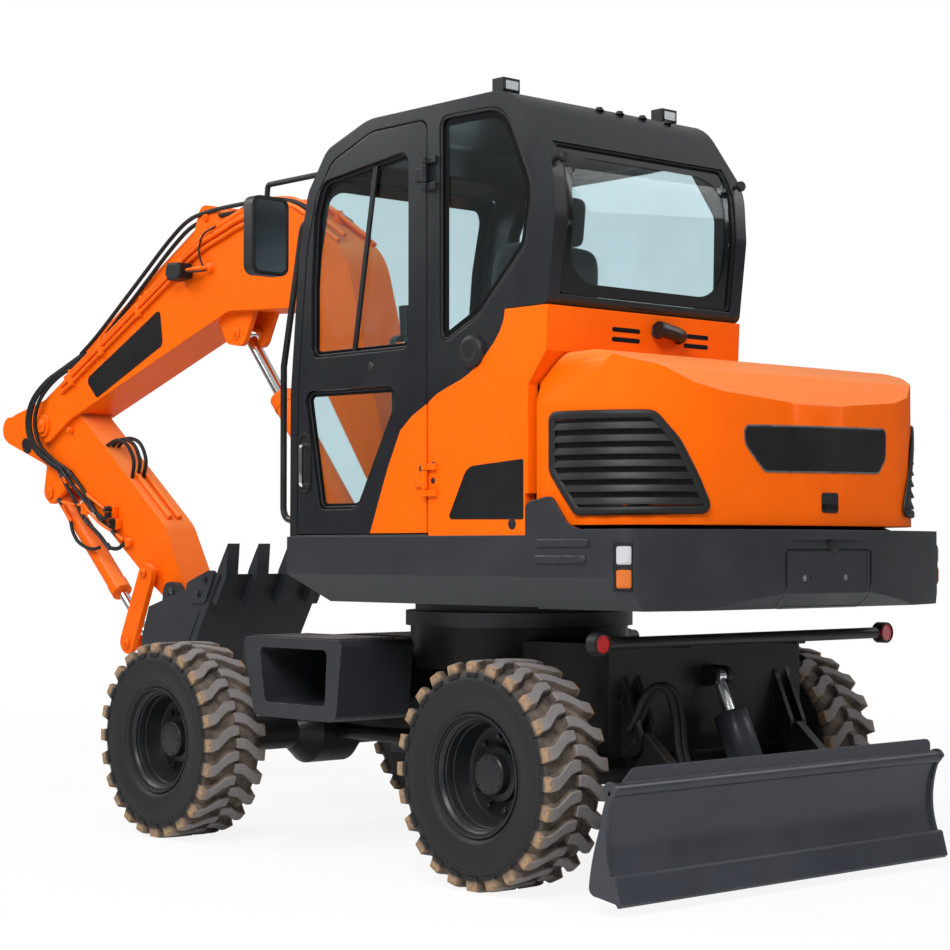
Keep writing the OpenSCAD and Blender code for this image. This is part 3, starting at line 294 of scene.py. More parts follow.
def glass_surface(name, tint, rough=0.02):
    mat = fresh(name)
    bsdf, coords = opened(mat)
    film = noise(coords, 1.6, 5.0, 0.6)
    colour = blend_colours(mapped(film, 0.3, 0.7), scaled(tint, 0.96), scaled(tint, 1.03))
    gloss = mapped(film, 0.35, 0.75, rough * 0.5, rough * 2)
    fill(bsdf, Base_Color=colour, Roughness=gloss, Transmission_Weight=1.0, IOR=1.25)
    return mat


def lens_surface(name, tint):
    """Moulded lamp lens with fine ribs."""
    mat = surface(name, tint, 0.08, 0.12, 0.05, coat=0.6, edge=0.002)
    bsdf, coords = opened(mat)
    fill(bsdf, Transmission_Weight=0.25, Normal=bumped(waves(coords, "Z", 420.0, 0.0), 0.5, 0.001))
    return mat


def weave_surface(name, base):
    """Woven seat cover."""
    mat = surface(name, base, 0.12, 0.85, 0.05, scale=9.0, edge=0.003)
    bsdf, coords = opened(mat)
    cloth = times(*[waves(coords, direction, 320.0, 0.4) for direction in ("X", "Z")])
    fill(bsdf, Sheen_Weight=0.25, Normal=bumped(cloth, 0.5, 0.001))
    return mat


def tyre_surface():
    """Black rubber, with tan dust on the tread and on the lug ends; the wheel's axis is the piece's Y."""
    mat = fresh("tyre_rubber")
    bsdf, coords = opened(mat)
    flat = worked("VectorMath", "MULTIPLY", coords, (1, 0, 1)).outputs[0]
    radius = worked("VectorMath", "LENGTH", flat).outputs["Value"]
    off = worked("Math", "ABSOLUTE", axis_of(coords, "Y")).outputs[0]
    drift = noise(coords, 14.0, 8.0, 0.7)
    speck = noise(coords, 70.0, 4.0, 0.7)
    tread = mapped(radius, 0.376, 0.394)
    worn = mapped(radius, 0.415, 0.420)
    ends = times(mapped(off, 0.128, 0.143), mapped(radius, 0.378, 0.396))
    rubber = blend_colours(speck, (0.010, 0.010, 0.011, 1), (0.021, 0.021, 0.022, 1))
    soil = blend_colours(drift, (0.100, 0.088, 0.080, 1), (0.270, 0.205, 0.155, 1))
    tops = blend_colours(speck, (0.170, 0.160, 0.162, 1), (0.310, 0.290, 0.288, 1))
    colour = blend_colours(times(tread, mapped(drift, 0.25, 0.62)), rubber, soil)
    colour = blend_colours(times(worn, 0.86), colour, tops)
    ends = times(ends, mapped(speck, 0.30, 0.55))
    colour = blend_colours(ends, colour, (0.36, 0.235, 0.135, 1))
    fill(bsdf, Base_Color=colour, Roughness=mapped(tread, 0.0, 1.0, 0.52, 0.9), Specular_IOR_Level=0.25,
         Normal=bumped(speck, 0.35, 0.002))
    return mat


# Each look: colour, its variation, roughness and its variation
# The orange paint gets the painted highlight (light peach) on its upward faces
ORANGE = surface("orange_paint", (0.90, 0.128, 0.002), 0.035, 0.42, 0.05, coat=0.12, grain=0.04, edge=0.006,
                 specular=0.06, painted_sheen=0.70)
CHARCOAL = surface("charcoal_paint", (0.021, 0.0235, 0.029), 0.10, 0.42, 0.07, coat=0.10, grain=0.10, dust=0.05,
                   wear=0.25, edge=0.005)
BLADE_PAINT = surface("blade_paint", (0.034, 0.039, 0.050), 0.12, 0.36, 0.08, coat=0.10, grain=0.08, dust=0.05,
                      wear=0.4)
CAB_PAINT = surface("cab_paint", (0.0095, 0.0105, 0.0135), 0.10, 0.34, 0.06, coat=0.14, grain=0.08, dust=0.03,
                    edge=0.006)
BLACK = surface("black_paint", (0.008, 0.008, 0.009), 0.18, 0.42, 0.1, coat=0.10, grain=0.15, dust=0.10, wear=0.15)
RIM_PAINT = surface("rim_paint", (0.014, 0.015, 0.017), 0.12, 0.36, 0.08, grain=0.06, dust=0.08, edge=0.003)
PLASTIC = surface("black_plastic", (0.010, 0.010, 0.011), 0.15, 0.5, 0.08, grain=0.35)
RUBBER = surface("seal_rubber", (0.006, 0.006, 0.007), 0.2, 0.45, 0.1, grain=0.2, edge=0.002)
HOSE = surface("hose_rubber", (0.008, 0.008, 0.009), 0.2, 0.55, 0.1, 30, grain=0.5, grain_scale=500, edge=0.001)
STEEL = surface("bolt_steel", (0.33, 0.33, 0.34), 0.15, 0.35, 0.12, 40, metallic=1.0, edge=0.001)
DARK_STEEL = surface("dark_steel", (0.075, 0.076, 0.080), 0.2, 0.42, 0.12, 20, metallic=0.9, grain=0.1, edge=0.002)
CHROME = surface("rod_chrome", (0.78, 0.79, 0.81), 0.03, 0.10, 0.05, 12, metallic=1.0, edge=0.001)
IRON = surface("engine_iron", (0.03, 0.03, 0.031), 0.3, 0.7, 0.1, grain=0.6, grain_scale=120, edge=0.003)
MIRROR = surface("mirror_glass", (0.10, 0.11, 0.125), 0.04, 0.24, 0.05, metallic=0.9, edge=0.001)
GLASS = glass_surface("tinted_glass", (0.70, 0.815, 0.84))
FRIT = surface("glass_border", (0.004, 0.004, 0.005), 0.15, 0.12, 0.05, coat=0.5, edge=0.001)
BADGE = surface("badge_black", (0.009, 0.009, 0.010), 0.1, 0.32, 0.06, coat=0.2, edge=0.001)
RED_LENS = lens_surface("red_lens", (0.62, 0.008, 0.010))
AMBER_LENS = lens_surface("amber_lens", (0.85, 0.20, 0.012))
CLEAR_LENS = lens_surface("clear_lens", (0.72, 0.74, 0.76))
TYRE = tyre_surface()
SEAT_CLOTH = weave_surface("seat_cloth", (0.020, 0.020, 0.022))

CORNERS = ("front_left", "front_right", "rear_left", "rear_right")
NODE_LOOKS = {
    ORANGE: ("hood", "side_panel", "right_cover", "door_corner", "boom", "arm", "boom_barrel", "arm_barrel",
             "bucket_barrel", "rocker", "bucket_link"),
    CHARCOAL: ("deck", "counterweight", "bucket", "swing_post", "step_boxes", "blade_barrel"),
    BLADE_PAINT: ("blade",),
    CAB_PAINT: ("cab_frame", "door"),
    BLACK: ("chassis_frame", "front_axle", "rear_axle", "drive_line", "tail_lamp_bar", "knuckle_left", "knuckle_right",
            "handrails", "exhaust"),
    PLASTIC: ("hood_louvres", "controls", "mirrors", "work_lamps", "tail_lamps"),
    DARK_STEEL: ("slewing_ring",),
    IRON: ("engine_block",),
    CHROME: ("blade_rod", "boom_rod", "arm_rod", "bucket_rod", "door_handle"),
    GLASS: ("cab_glass", "door_glass"),
    RED_LENS: ("tail_reflectors",),
    SEAT_CLOTH: ("seat",),
    RIM_PAINT: ["wheel_" + corner for corner in CORNERS],
    TYRE: ["tyre_" + corner for corner in CORNERS],
}
for look, names in NODE_LOOKS.items():
    for name in names:
        shown = NODES[name]
        if not shown.material_slots:
            shown.data.materials.append(look)
        for slot in shown.material_slots:
            slot.material = look


# Soft shading for the rounded sheet metal of the CAD nodes

WELD = 0.00002
CREASE = math.radians(27)


def soft_edges():
    group = bpy.data.node_groups.new("soft_edges", "GeometryNodeTree")
    group.interface.new_socket("Geometry", in_out="INPUT", socket_type="NodeSocketGeometry")
    group.interface.new_socket("Geometry", in_out="OUTPUT", socket_type="NodeSocketGeometry")
    make = group.nodes.new
    come, go = make("NodeGroupInput"), make("NodeGroupOutput")
    weld = make("GeometryNodeMergeByDistance")
    weld.inputs["Distance"].default_value = WELD
    plain = make("GeometryNodeRemoveAttribute")
    plain.inputs["Name"].default_value = "custom_normal"
    smooth = make("GeometryNodeSetShadeSmooth")
    crease = make("GeometryNodeSetShadeSmooth")
    crease.domain = "EDGE"
    crease.inputs["Shade Smooth"].default_value = False
    angle = make("GeometryNodeInputMeshEdgeAngle")
    sharp = make("FunctionNodeCompare")
    sharp.operation = "GREATER_THAN"
    sharp.inputs["B"].default_value = CREASE
    wire(angle.outputs["Unsigned Angle"], sharp.inputs["A"])
    wire(sharp.outputs[0], crease.inputs["Selection"])
    chain = [come, weld, plain, smooth, crease, go]
    for a, b in zip(chain, chain[1:]):
        wire(a.outputs[0], b.inputs[0])
    return group


SOFT = soft_edges()
for name in ("hood", "side_panel", "right_cover", "door_corner", "boom", "arm", "deck", "counterweight", "bucket",
             "swing_post", "cab_frame", "door", "blade", "mirrors", "handrails", "exhaust", "door_handle", "cab_glass",
             "chassis_frame"):
    NODES[name].modifiers.new("soft", "NODES").node_group = SOFT


# Shapes

AXES = {"x": Vector((1, 0, 0)), "y": Vector((0, 1, 0)), "z": Vector((0, 0, 1))}
LEFT, RIGHT, BACK, UP = AXES["y"], -AXES["y"], -AXES["x"], AXES["z"]
OUTSIDE = 10  # metres along an axis, well off the machine


def piece(name, shapes, look, body, slot=None, angle=32, bevel=0.0, segments=2, limit=35, spot=None):
    """Piece of the shapes; one built round the origin is moved to its spot and keeps its own origin for its look."""
    verts, faces = joined(*shapes)
    mesh = bpy.data.meshes.new(name)
    mesh.from_pydata([tuple(v) for v in verts], [], faces)
    clean = bmesh.new()
    clean.from_mesh(mesh)
    bmesh.ops.recalc_face_normals(clean, faces=clean.faces)
    clean.to_mesh(mesh)
    clean.free()
    mesh.materials.append(look)
    mesh.shade_smooth()
    mesh.set_sharp_from_angle(angle=math.radians(angle))
    made = bpy.data.objects.new(name, mesh)
    bpy.context.collection.objects.link(made)
    if spot is not None:
        made.matrix_world = Matrix.Translation(spot)
        bpy.context.view_layer.update()
    if bevel:
        cut = made.modifiers.new("edge", "BEVEL")
        cut.width = bevel / 1000
        cut.segments = segments
        cut.limit_method = "ANGLE"
        cut.angle_limit = math.radians(limit)
    if body:
        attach(made, body)
    return made


def grid(rows, n):
    """Cells between rows of n points, each row closed."""
    return [(k * n + i, k * n + (i + 1) % n, (k + 1) * n + (i + 1) % n, (k + 1) * n + i)
            for k in range(rows - 1) for i in range(n)]


def rounded(corners, n=6):
    """Outline of [x, y, radius] corners."""
    out = []
    m = len(corners)
    for i, (x, y, r) in enumerate(corners):
        p = Vector((x, y))
        if r <= 0:
            out.append((x, y))
            continue
        u = (Vector(corners[i - 1][:2]) - p).normalized()
        v = (Vector(corners[(i + 1) % m][:2]) - p).normalized()
        half = u.angle(v) / 2
        c = p + (u + v).normalized() * r / math.sin(half)
        a = p + u * r / math.tan(half) - c
        b = p + v * r / math.tan(half) - c
        a0 = math.atan2(a.y, a.x)
        d = (math.atan2(b.y, b.x) - a0 + 3 * math.pi) % (2 * math.pi) - math.pi
        out += [tuple(c + r * Vector((math.cos(a0 + d * k / n), math.sin(a0 + d * k / n)))) for k in range(n + 1)]
    return out


def area(outline):
    return sum(a[0] * b[1] - b[0] * a[1] for a, b in zip(outline, outline[1:] + outline[:1])) / 2


def offset(outline, d):
    """Outline moved outwards by d."""
    sign = 1 if area(outline) > 0 else -1
    out = []
    m = len(outline)
    for i, p in enumerate(outline):
        a, b, p = Vector(outline[i - 1]), Vector(outline[(i + 1) % m]), Vector(p)
        e0 = (p - a).normalized() if (p - a).length > 1e-6 else (b - p).normalized()
        e1 = (b - p).normalized() if (b - p).length > 1e-6 else e0
        n0, n1 = Vector((e0.y, -e0.x)), Vector((e1.y, -e1.x))
        step = (n0 + n1) / max(0.25, 1 + n0.dot(n1))
        out.append(tuple(p + step * d * sign))
    return out


def in_plane(axis, u, v, w):
    """Point whose in-plane coordinates are u, v and whose place along the axis is w."""
    return {"x": at(w, u, v), "y": at(u, w, v), "z": at(u, v, w)}[axis]


def plate(outline, axis, low, high):
    """Flat plate: the outline in the plane across the axis, from low to high along it."""
    n = len(outline)
    verts = [in_plane(axis, u, v, w) for w in (low, high) for u, v in outline]
    faces = [tuple(range(n)), tuple(range(2 * n - 1, n - 1, -1))]
    faces += [(i, (i + 1) % n, n + (i + 1) % n, n + i) for i in range(n)]
    return verts, faces


def ring_plate(outer, inner, axis, low, high, closed=True):
    """Flat frame, or bent strip if not closed, between two lines with the same number of points."""
    n = len(outer)
    verts = [in_plane(axis, u, v, w) for w in (low, high) for path in (outer, inner) for u, v in path]
    faces = [] if closed else [(0, 2 * n, 3 * n, n), (n - 1, 2 * n - 1, 4 * n - 1, 3 * n - 1)]
    for i in range(n if closed else n - 1):
        j = (i + 1) % n
        faces += [(i, j, n + j, n + i), (2 * n + i, 3 * n + i, 3 * n + j, 2 * n + j), (i, 2 * n + i, 2 * n + j, j),
                  (n + i, n + j, 3 * n + j, 3 * n + i)]
    return verts, faces


def joined(*shapes):
    verts, faces = [], []
    for more, cells in shapes:
        base = len(verts)
        verts += more
        faces += [tuple(i + base for i in cell) for cell in cells]
    return verts, faces


def turned(profile, seg=56, place=Vector((0, 0, 0)), axis=Vector((0, 1, 0))):
    """Lathe: profile of (radius, along) in millimetres round the axis through place."""
    frame_z = axis.normalized()
    frame_x = frame_z.orthogonal().normalized()
    frame_y = frame_z.cross(frame_x)
    verts, faces, rows = [], [], []
    for r, a in profile:
        if r < 1e-6:
            rows.append([len(verts)] * seg)
            verts.append(place + frame_z * a / 1000)
            continue
        rows.append(list(range(len(verts), len(verts) + seg)))
        for k in range(seg):
            t = 2 * math.pi * k / seg
            verts.append(place + frame_z * a / 1000 + (frame_x * math.cos(t) + frame_y * math.sin(t)) * r / 1000)
    for low, high in zip(rows, rows[1:]):
        for k in range(seg):
            j = (k + 1) % seg
            cell = []
            for i in (low[k], low[j], high[j], high[k]):
                if i not in cell:
                    cell.append(i)
            if len(cell) > 2:
                faces.append(tuple(cell))
    return verts, faces


def bolt(place, axis, r=9.0, h=7.0):
    """Hexagon head on a washer."""
    washer = turned([(0, 0), (r * 1.45, 0), (r * 1.45, h * 0.28), (r, h * 0.28)], 16, place, axis)
    head = turned([(r, h * 0.2), (r, h * 0.86), (r * 0.86, h), (0, h)], 6, place, axis)
    return joined(washer, head)


def smooth_path(points, per=8):
    """Catmull-Rom curve through the points."""
    pts = [points[0] * 2 - points[1]] + list(points) + [points[-1] * 2 - points[-2]]
    out = []
    for i in range(1, len(pts) - 2):
        p0, p1, p2, p3 = pts[i - 1:i + 3]
        for k in range(per):
            t = k / per
            out.append(0.5 * (2 * p1 + (p2 - p0) * t + (2 * p0 - 5 * p1 + 4 * p2 - p3) * t * t
                              + (3 * p1 - p0 - 3 * p2 + p3) * t ** 3))
    return out + [pts[-2]]


def tube(points, r, sides=10, per=8):
    """Round tube of r millimetres along a smooth path of points in metres."""
    path = smooth_path(points, per) if per else list(points)
    tangent = (path[1] - path[0]).normalized()
    side = tangent.orthogonal().normalized()
    verts, faces = [], []
    for i, p in enumerate(path):
        t = (path[min(i + 1, len(path) - 1)] - path[max(i - 1, 0)]).normalized()
        side = (side - t * side.dot(t)).normalized()
        up = t.cross(side)
        verts += [p + (side * math.cos(2 * math.pi * k / sides) + up * math.sin(2 * math.pi * k / sides)) * r / 1000
                  for k in range(sides)]
    faces = grid(len(path), sides)
    faces += [tuple(range(sides)), tuple(range(len(verts) - 1, len(verts) - sides - 1, -1))]
    return verts, faces


def rect(u0, v0, u1, v1, r, n=6):
    return rounded([(u0, v0, r), (u1, v0, r), (u1, v1, r), (u0, v1, r)], n)


def block(low, high):
    (x0, y0, z0), (x1, y1, z1) = low, high
    return plate([(x0, y0), (x1, y0), (x1, y1), (x0, y1)], "z", z0, z1)


TREES = {}


def hit(node, start, way):
    """First point of a CAD node met from start, with the surface's outward direction."""
    if node not in TREES:
        mesh = NODES[node].data
        TREES[node] = BVHTree.FromPolygons([v.co[:] for v in mesh.vertices], [tuple(p.vertices) for p in mesh.polygons])
    place, normal, _, _ = TREES[node].ray_cast(start, way)
    if place is None:
        return None, None
    return place, (normal if normal.dot(way) < 0 else -normal)


def dense(outline, step=36.0):
    """Outline with its long edges split."""
    out = []
    for a, b in zip(outline, outline[1:] + outline[:1]):
        parts = max(1, math.ceil((Vector(b) - Vector(a)).length / step))
        out += [tuple(Vector(a).lerp(Vector(b), k / parts)) for k in range(parts)]
    return out


def cast(node, axis, way, u, v):
    """What hit() finds of a CAD node along the axis from outside."""
    start = in_plane(axis, u, v, 0)
    start["xyz".index(axis)] = -OUTSIDE * way
    return hit(node, start, AXES[axis] * way)


def thrown(node, axis, way, u, v, lift):
    """Point over a CAD node's surface, met along the axis from outside."""
    place, normal = cast(node, axis, way, u, v)
    if place is None:
        raise ValueError("nothing of %s at %s %.0f, %.0f" % (node, axis, u, v))
    return place + normal * lift / 1000


def skin_where(outline, met, low, high, rings=5):
    """Thin panel over the surface points that met() finds for the outline's points."""
    outline = dense(outline)
    n = len(outline)
    cx, cy = (sum(p[k] for p in outline) / n for k in (0, 1))
    shares = [1 - k / rings for k in range(rings)]
    spots = [(cx + (u - cx) * share, cy + (v - cy) * share) for share in shares for u, v in outline] + [(cx, cy)]
    found = [met(u, v) for u, v in spots]
    verts = [place + normal * lift / 1000 for lift in (high, low) for place, normal in found]
    faces = grid(rings, n)
    faces += [((rings - 1) * n + i, (rings - 1) * n + (i + 1) % n, rings * n) for i in range(n)]
    base = len(found)
    faces += [tuple(base + i for i in reversed(cell)) for cell in faces]
    faces += [(i, base + i, base + (i + 1) % n, (i + 1) % n) for i in range(n)]
    return verts, faces


def skin(outline, axis, way, node, low, high, rings=5):
    """Thin panel that follows a CAD node's surface: the outline is thrown on it along the axis."""
    return skin_where(outline, lambda u, v: cast(node, axis, way, u, v), low, high, rings)


def skin_ring(outer, inner, axis, way, node, low, high, steps):
    """Band between two outlines that follows a CAD node's surface."""
    n, rows = len(outer), steps + 1
    verts = [thrown(node, axis, way, a + (c - a) * k / steps, b + (d - b) * k / steps, lift)
             for lift in (high, low) for k in range(rows) for (a, b), (c, d) in zip(outer, inner)]
    faces = grid(rows, n)
    faces += [tuple(rows * n + q for q in (a, d, c, b)) for a, b, c, d in faces]
    for k in (0, steps):
        faces += [(k * n + i, k * n + (i + 1) % n, (rows + k) * n + (i + 1) % n, (rows + k) * n + i) for i in range(n)]
    return verts, faces


# Wheels: rubber with dog-leg lugs, dished rims with their bolts

TYRE_R = 424.0
ROOT_R = 397.0
SHOULDER_R = 362.0
CROWN_FALL = 0.00035
LUGS = 24
LUG_LINE = ((148.5, 0.0, 25.0), (126.0, 2.0, 24.5), (104.0, 8.0, 23.5), (72.0, 34.0, 22.5), (46.0, 54.0, 22.0),
            (20.0, 60.0, 21.0), (-6.0, 62.0, 19.0))


def lug(phase, side):
    """One lug; its line runs from the shoulder to just past the middle, as (along, round, half width)."""
    verts, faces = [], []
    for k, (along, round_by, half) in enumerate(LUG_LINE):
        crown = TYRE_R - CROWN_FALL * max(0.0, abs(along) - 60) ** 2 - (4.0 if k == 0 else 0.0)
        foot = SHOULDER_R if k == 0 else ROOT_R - 4 - max(0.0, abs(along) - 100) * 0.30
        for edge, r, extra in ((-1, foot, 9), (-1, crown, 0), (1, crown, 0), (1, foot, 9)):
            turn = phase - (round_by + edge * (half + extra)) / TYRE_R
            verts.append(Vector((r * math.cos(turn), side * along, r * math.sin(turn))) / 1000)
    ends = [(0, 1, 2, 3), tuple(4 * len(LUG_LINE) - 4 + i for i in (3, 2, 1, 0))]
    return verts, grid(len(LUG_LINE), 4) + ends


CARCASS = [(213, -121), (214, -124), (231, -125), (240, -136), (247, -140), (252, -138), (262, -140), (300, -147.5),
           (336, -149), (352, -147), (355, -148.5), (360, -146), (378, -141), (389, -126), (394, -100), (ROOT_R, -50),
           (ROOT_R, 0)]
CARCASS = CARCASS + [(r, -a) for r, a in reversed(CARCASS[:-1])]
RIM = [(0, 63), (58, 63), (72, 61), (77, 56), (78, 22), (92, 20), (102, 16), (104, -12), (112, -16), (168, -18),
       (180, -12), (186, 2), (189, 30), (191, 58), (196, 61), (196, 66), (192, 70), (195, 92), (201, 95), (201, 100),
       (198, 105), (203, 113), (212, 121), (219, 124), (222, 133), (227, 133), (228.5, 127), (226, 124), (211.5, 121),
       (211.5, -121), (226, -124), (228.5, -128), (226, -133), (221, -133), (213, -122), (204, -116), (198, -60),
       (192, -36), (180, -34), (112, -34), (107, -50), (46.2, -50), (46.2, 4), (0, 4)]


def spin_bolts(count, ring_r, along, r, h, lead=0.0):
    turns = [lead + 2 * math.pi * k / count for k in range(count)]
    spots = [Vector((ring_r * math.cos(t), along, ring_r * math.sin(t))) / 1000 for t in turns]
    return joined(*[bolt(spot, LEFT, r, h) for spot in spots])


def mirrored(shape):
    verts, faces = shape
    return [Vector((v.x, -v.y, v.z)) for v in verts], [tuple(reversed(f)) for f in faces]


lugs_shape = joined(*[lug(2 * math.pi * (k + lead) / LUGS, side)
                      for side, lead in ((1, 0), (-1, 0.5)) for k in range(LUGS)])
carcass_shape = turned(CARCASS, 72)
rim_shape = turned(RIM, 64)
cap_bolts = spin_bolts(10, 62, 63, 4.2, 4)
disc_bolts = spin_bolts(10, 138, -17, 12, 16, 0.2)
for corner in CORNERS:
    def on_wheel(name, shape, look, slot, **more):
        return piece(name + "_" + corner, [shape], look, "wheel_" + corner, slot, segments=1, limit=40,
                     spot=centre("tyre_" + corner), **more)

    flip = mirrored if corner.endswith("right") else (lambda shape: shape)
    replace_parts(on_wheel("tyre_casing", carcass_shape, TYRE, "tyre", angle=50), "tyre_" + corner)
    on_wheel("tyre_lugs", flip(lugs_shape), TYRE, "tyre", bevel=2.5)
    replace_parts(on_wheel("rim", flip(rim_shape), RIM_PAINT, "black_paint"), "wheel_" + corner)
    on_wheel("hub_bolts", flip(cap_bolts), DARK_STEEL, "black_paint")
    on_wheel("wheel_nuts", flip(disc_bolts), DARK_STEEL, "black_paint")


# Cab: seals, glass borders, divider, locks and hinge bolts

CAB_LEFT = 905.0
DOOR_GLASS_Y, QUARTER_GLASS_Y, RIGHT_GLASS_Y = 880.0, 891.0, -120.0
UPPER_PANE = rounded([(-40, 2020, 40), (-40, 2300, 300), (-60, 2600, 150), (-110, 2725, 70), (-640, 2782, 45),
                      (-640, 2020, 40)])
LOWER_PANE = rounded([(-92, 1412, 40), (5, 1890, 40), (-600, 1884, 50), (-330, 1412, 60)])
QUARTER_PANE = rounded([(-820, 2012, 40), (-820, 2885, 40), (-1180, 2880, 150), (-1330, 2560, 200), (-1290, 2345, 90),
                        (-1045, 2115, 200)])
RIGHT_PANE = rounded([(-110, 1700, 60), (-700, 1700, 60), (-1150, 2170, 80), (-1310, 2180, 80), (-1320, 2560, 120),
                      (-1160, 2810, 120), (-250, 2800, 60), (-150, 2600, 60)])


def pane_trim(name, outline, face, way, body, border):
    """Rubber bead round a flat pane and the dark border printed on its glass."""
    for kind, outer, inner, foot, top, look, bevel in (("_seal", -1.5, -13, 0.3, 12, RUBBER, 3),
                                                       ("_border", -11, -border, 0.25, 0.9, FRIT, 0)):
        low, high = sorted((face + way * foot, face + way * top))
        band = ring_plate(offset(outline, outer), offset(outline, inner), "y", low, high)
        piece(name + kind, [band], look, body, bevel=bevel)


pane_trim("door_upper", UPPER_PANE, DOOR_GLASS_Y, 1, "door", 26)
pane_trim("door_lower", LOWER_PANE, DOOR_GLASS_Y, 1, "door", 24)
pane_trim("quarter", QUARTER_PANE, QUARTER_GLASS_Y, 1, "upper", 40)
pane_trim("right_window", RIGHT_PANE, RIGHT_GLASS_Y, -1, "upper", 34)


def four(y0, z0, y1, z1, r, n=8, parts=6):
    """Rounded rectangle whose sides are split too, so that bands bend with the glass."""
    arcs = rect(y0, z0, y1, z1, r, n)
    out = []
    for k in range(4):
        arc = arcs[k * (n + 1):(k + 1) * (n + 1)]
        after = arcs[(k + 1) * (n + 1) % len(arcs)]
        out += arc
        out += [tuple(Vector(arc[-1]).lerp(Vector(after), t / parts)) for t in range(1, parts)]
    return out


REAR_PANE = (-74, 2170, 845, 2725)
SCREEN = (-74, 1377, 845, 2752)
for name, (y0, z0, y1, z1), way, inner_r in (("rear_pane", REAR_PANE, 1, 130), ("screen", SCREEN, -1, 60)):
    for kind, outer, inner, top, steps, look in (("_seal", (1, 24), (13, 16), 9, 1, RUBBER),
                                                 ("_border", (12, 16), (46, inner_r), 0.9, 2, FRIT)):
        lines = [four(y0 + d, z0 + d, y1 - d, z1 - d, r) for d, r in (outer, inner)]
        piece(name + kind, [skin_ring(*lines, "x", way, "cab_glass", 0.3, top, steps)], look, "upper")
divider = [(-440, 2764), (-416, 2766), (-283, 2034), (-307, 2034)]
piece("door_divider", [plate(divider, "y", DOOR_GLASS_Y + 0.3, DOOR_GLASS_Y + 12)], RUBBER, "door", bevel=3)

handle = rect(-44, 1482, 36, 1722, 38)
piece("handle_cup", [ring_plate(handle, offset(handle, -9), "y", CAB_LEFT + 0.3, CAB_LEFT + 6),
                     plate(offset(handle, -8), "y", CAB_LEFT + 0.3, CAB_LEFT + 1.2)], PLASTIC, "door", bevel=1.5)
lock = [(0, 5), (8, 5), (9, 3), (14, 3), (16, 0.3), (0, 0.3)]
piece("door_lock", [turned(lock, 24, at(-417, CAB_LEFT, 1967), LEFT)], DARK_STEEL, "door")
wide_lock = [(r * 1.3, a) for r, a in lock]
piece("panel_lock", [turned(wide_lock, 24, at(-1216, CAB_LEFT, 1346), LEFT)], PLASTIC, "upper")
cup = [(0, 9), (22, 9), (25, 16), (31, 22), (42, 24), (52, 21), (60, 13), (63, 0.3), (0, 0.3)]
piece("catch_cup", [turned(cup, 40, at(-1007, CAB_LEFT, 1985), LEFT)], PLASTIC, "upper")
for name, body, x, heights in (("door", "door", -716, (1560, 1500)), ("panel", "upper", -784, (1572, 1512))):
    piece("hinge_bolts_" + name, [bolt(at(x, CAB_LEFT + 0.2, z), LEFT, 8, 6) for z in heights], DARK_STEEL, body)
swoosh = rounded([(-868, 1366, 14), (-975, 1560, 70), (-1276, 1580, 8), (-1276, 1362, 8)])
piece("side_badge", [skin(swoosh, "y", -1, "side_panel", 0.2, 1.4)], BADGE, "upper")
knob = [(0, 46), (15, 46), (20, 40), (20, 28), (14, 24), (9, 22), (9, 0), (0, 0)]
rear_knobs = [turned(knob, 20, thrown("cab_frame", "x", 1, y, 2655, -1), BACK) for y in (868, -96)]
piece("rear_pane_knobs", rear_knobs, PLASTIC, "upper")

# Hood: louvres with a dark sheet of painted shade behind them, blank badge plate and latch; cowl vent slots filled with
# painted shade

CORNER_X, CORNER_Y, CORNER_R, LOUVRE_X = -1447.15, 458.0, 420.0, -1385.0
LOUVRE = dense(rounded([(0, 1745, 34), (420, 1742, 60), (509, 1640, 160), (577, 1514, 160), (640, 1378, 34),
                        (128, 1372, 40), (0, 1530, 60)], 5), 24)


def on_hood(s, z, out, side):
    """Point out from the hood's side, s along it from the louvres' front end."""
    straight = LOUVRE_X - CORNER_X
    if s <= straight:
        return at(LOUVRE_X - s, side * (CORNER_Y + CORNER_R + out), z)
    turn = (s - straight) / CORNER_R
    return at(CORNER_X - (CORNER_R + out) * math.sin(turn), side * (CORNER_Y + (CORNER_R + out) * math.cos(turn)), z)


def span(outline, z):
    """Ends of an outline at height z."""
    ends = []
    for (a, b), (c, d) in zip(outline, outline[1:] + outline[:1]):
        if (b - z) * (d - z) < 0:
            ends.append(a + (c - a) * (z - b) / (d - b))
    return min(ends), max(ends)


def louvre_frame(side):
    rows = [(offset(LOUVRE, d), out) for d, out in ((0, 2.2), (-1, 9), (-5, 13), (-22, 13), (-30, 9), (-32, 2.4))]
    verts = [on_hood(s, z, out, side) for path, out in rows for s, z in path]
    return verts, grid(len(rows), len(LOUVRE))


def strips(profile, side, cols=26):
    """Curved strip: each (z, out) line runs between the ends of the louvre opening."""
    inner = offset(LOUVRE, -28)
    verts, faces = [], []
    for z, out in profile:
        low, high = span(inner, z)
        verts += [on_hood(low + (high - low) * k / cols, z, out, side) for k in range(cols + 1)]
    rows, n = len(profile), cols + 1
    for r in range(rows):
        after = (r + 1) % rows
        faces += [(r * n + k, r * n + k + 1, after * n + k + 1, after * n + k) for k in range(cols)]
    faces += [tuple(r * n for r in range(rows)), tuple(r * n + cols for r in reversed(range(rows)))]
    return verts, faces


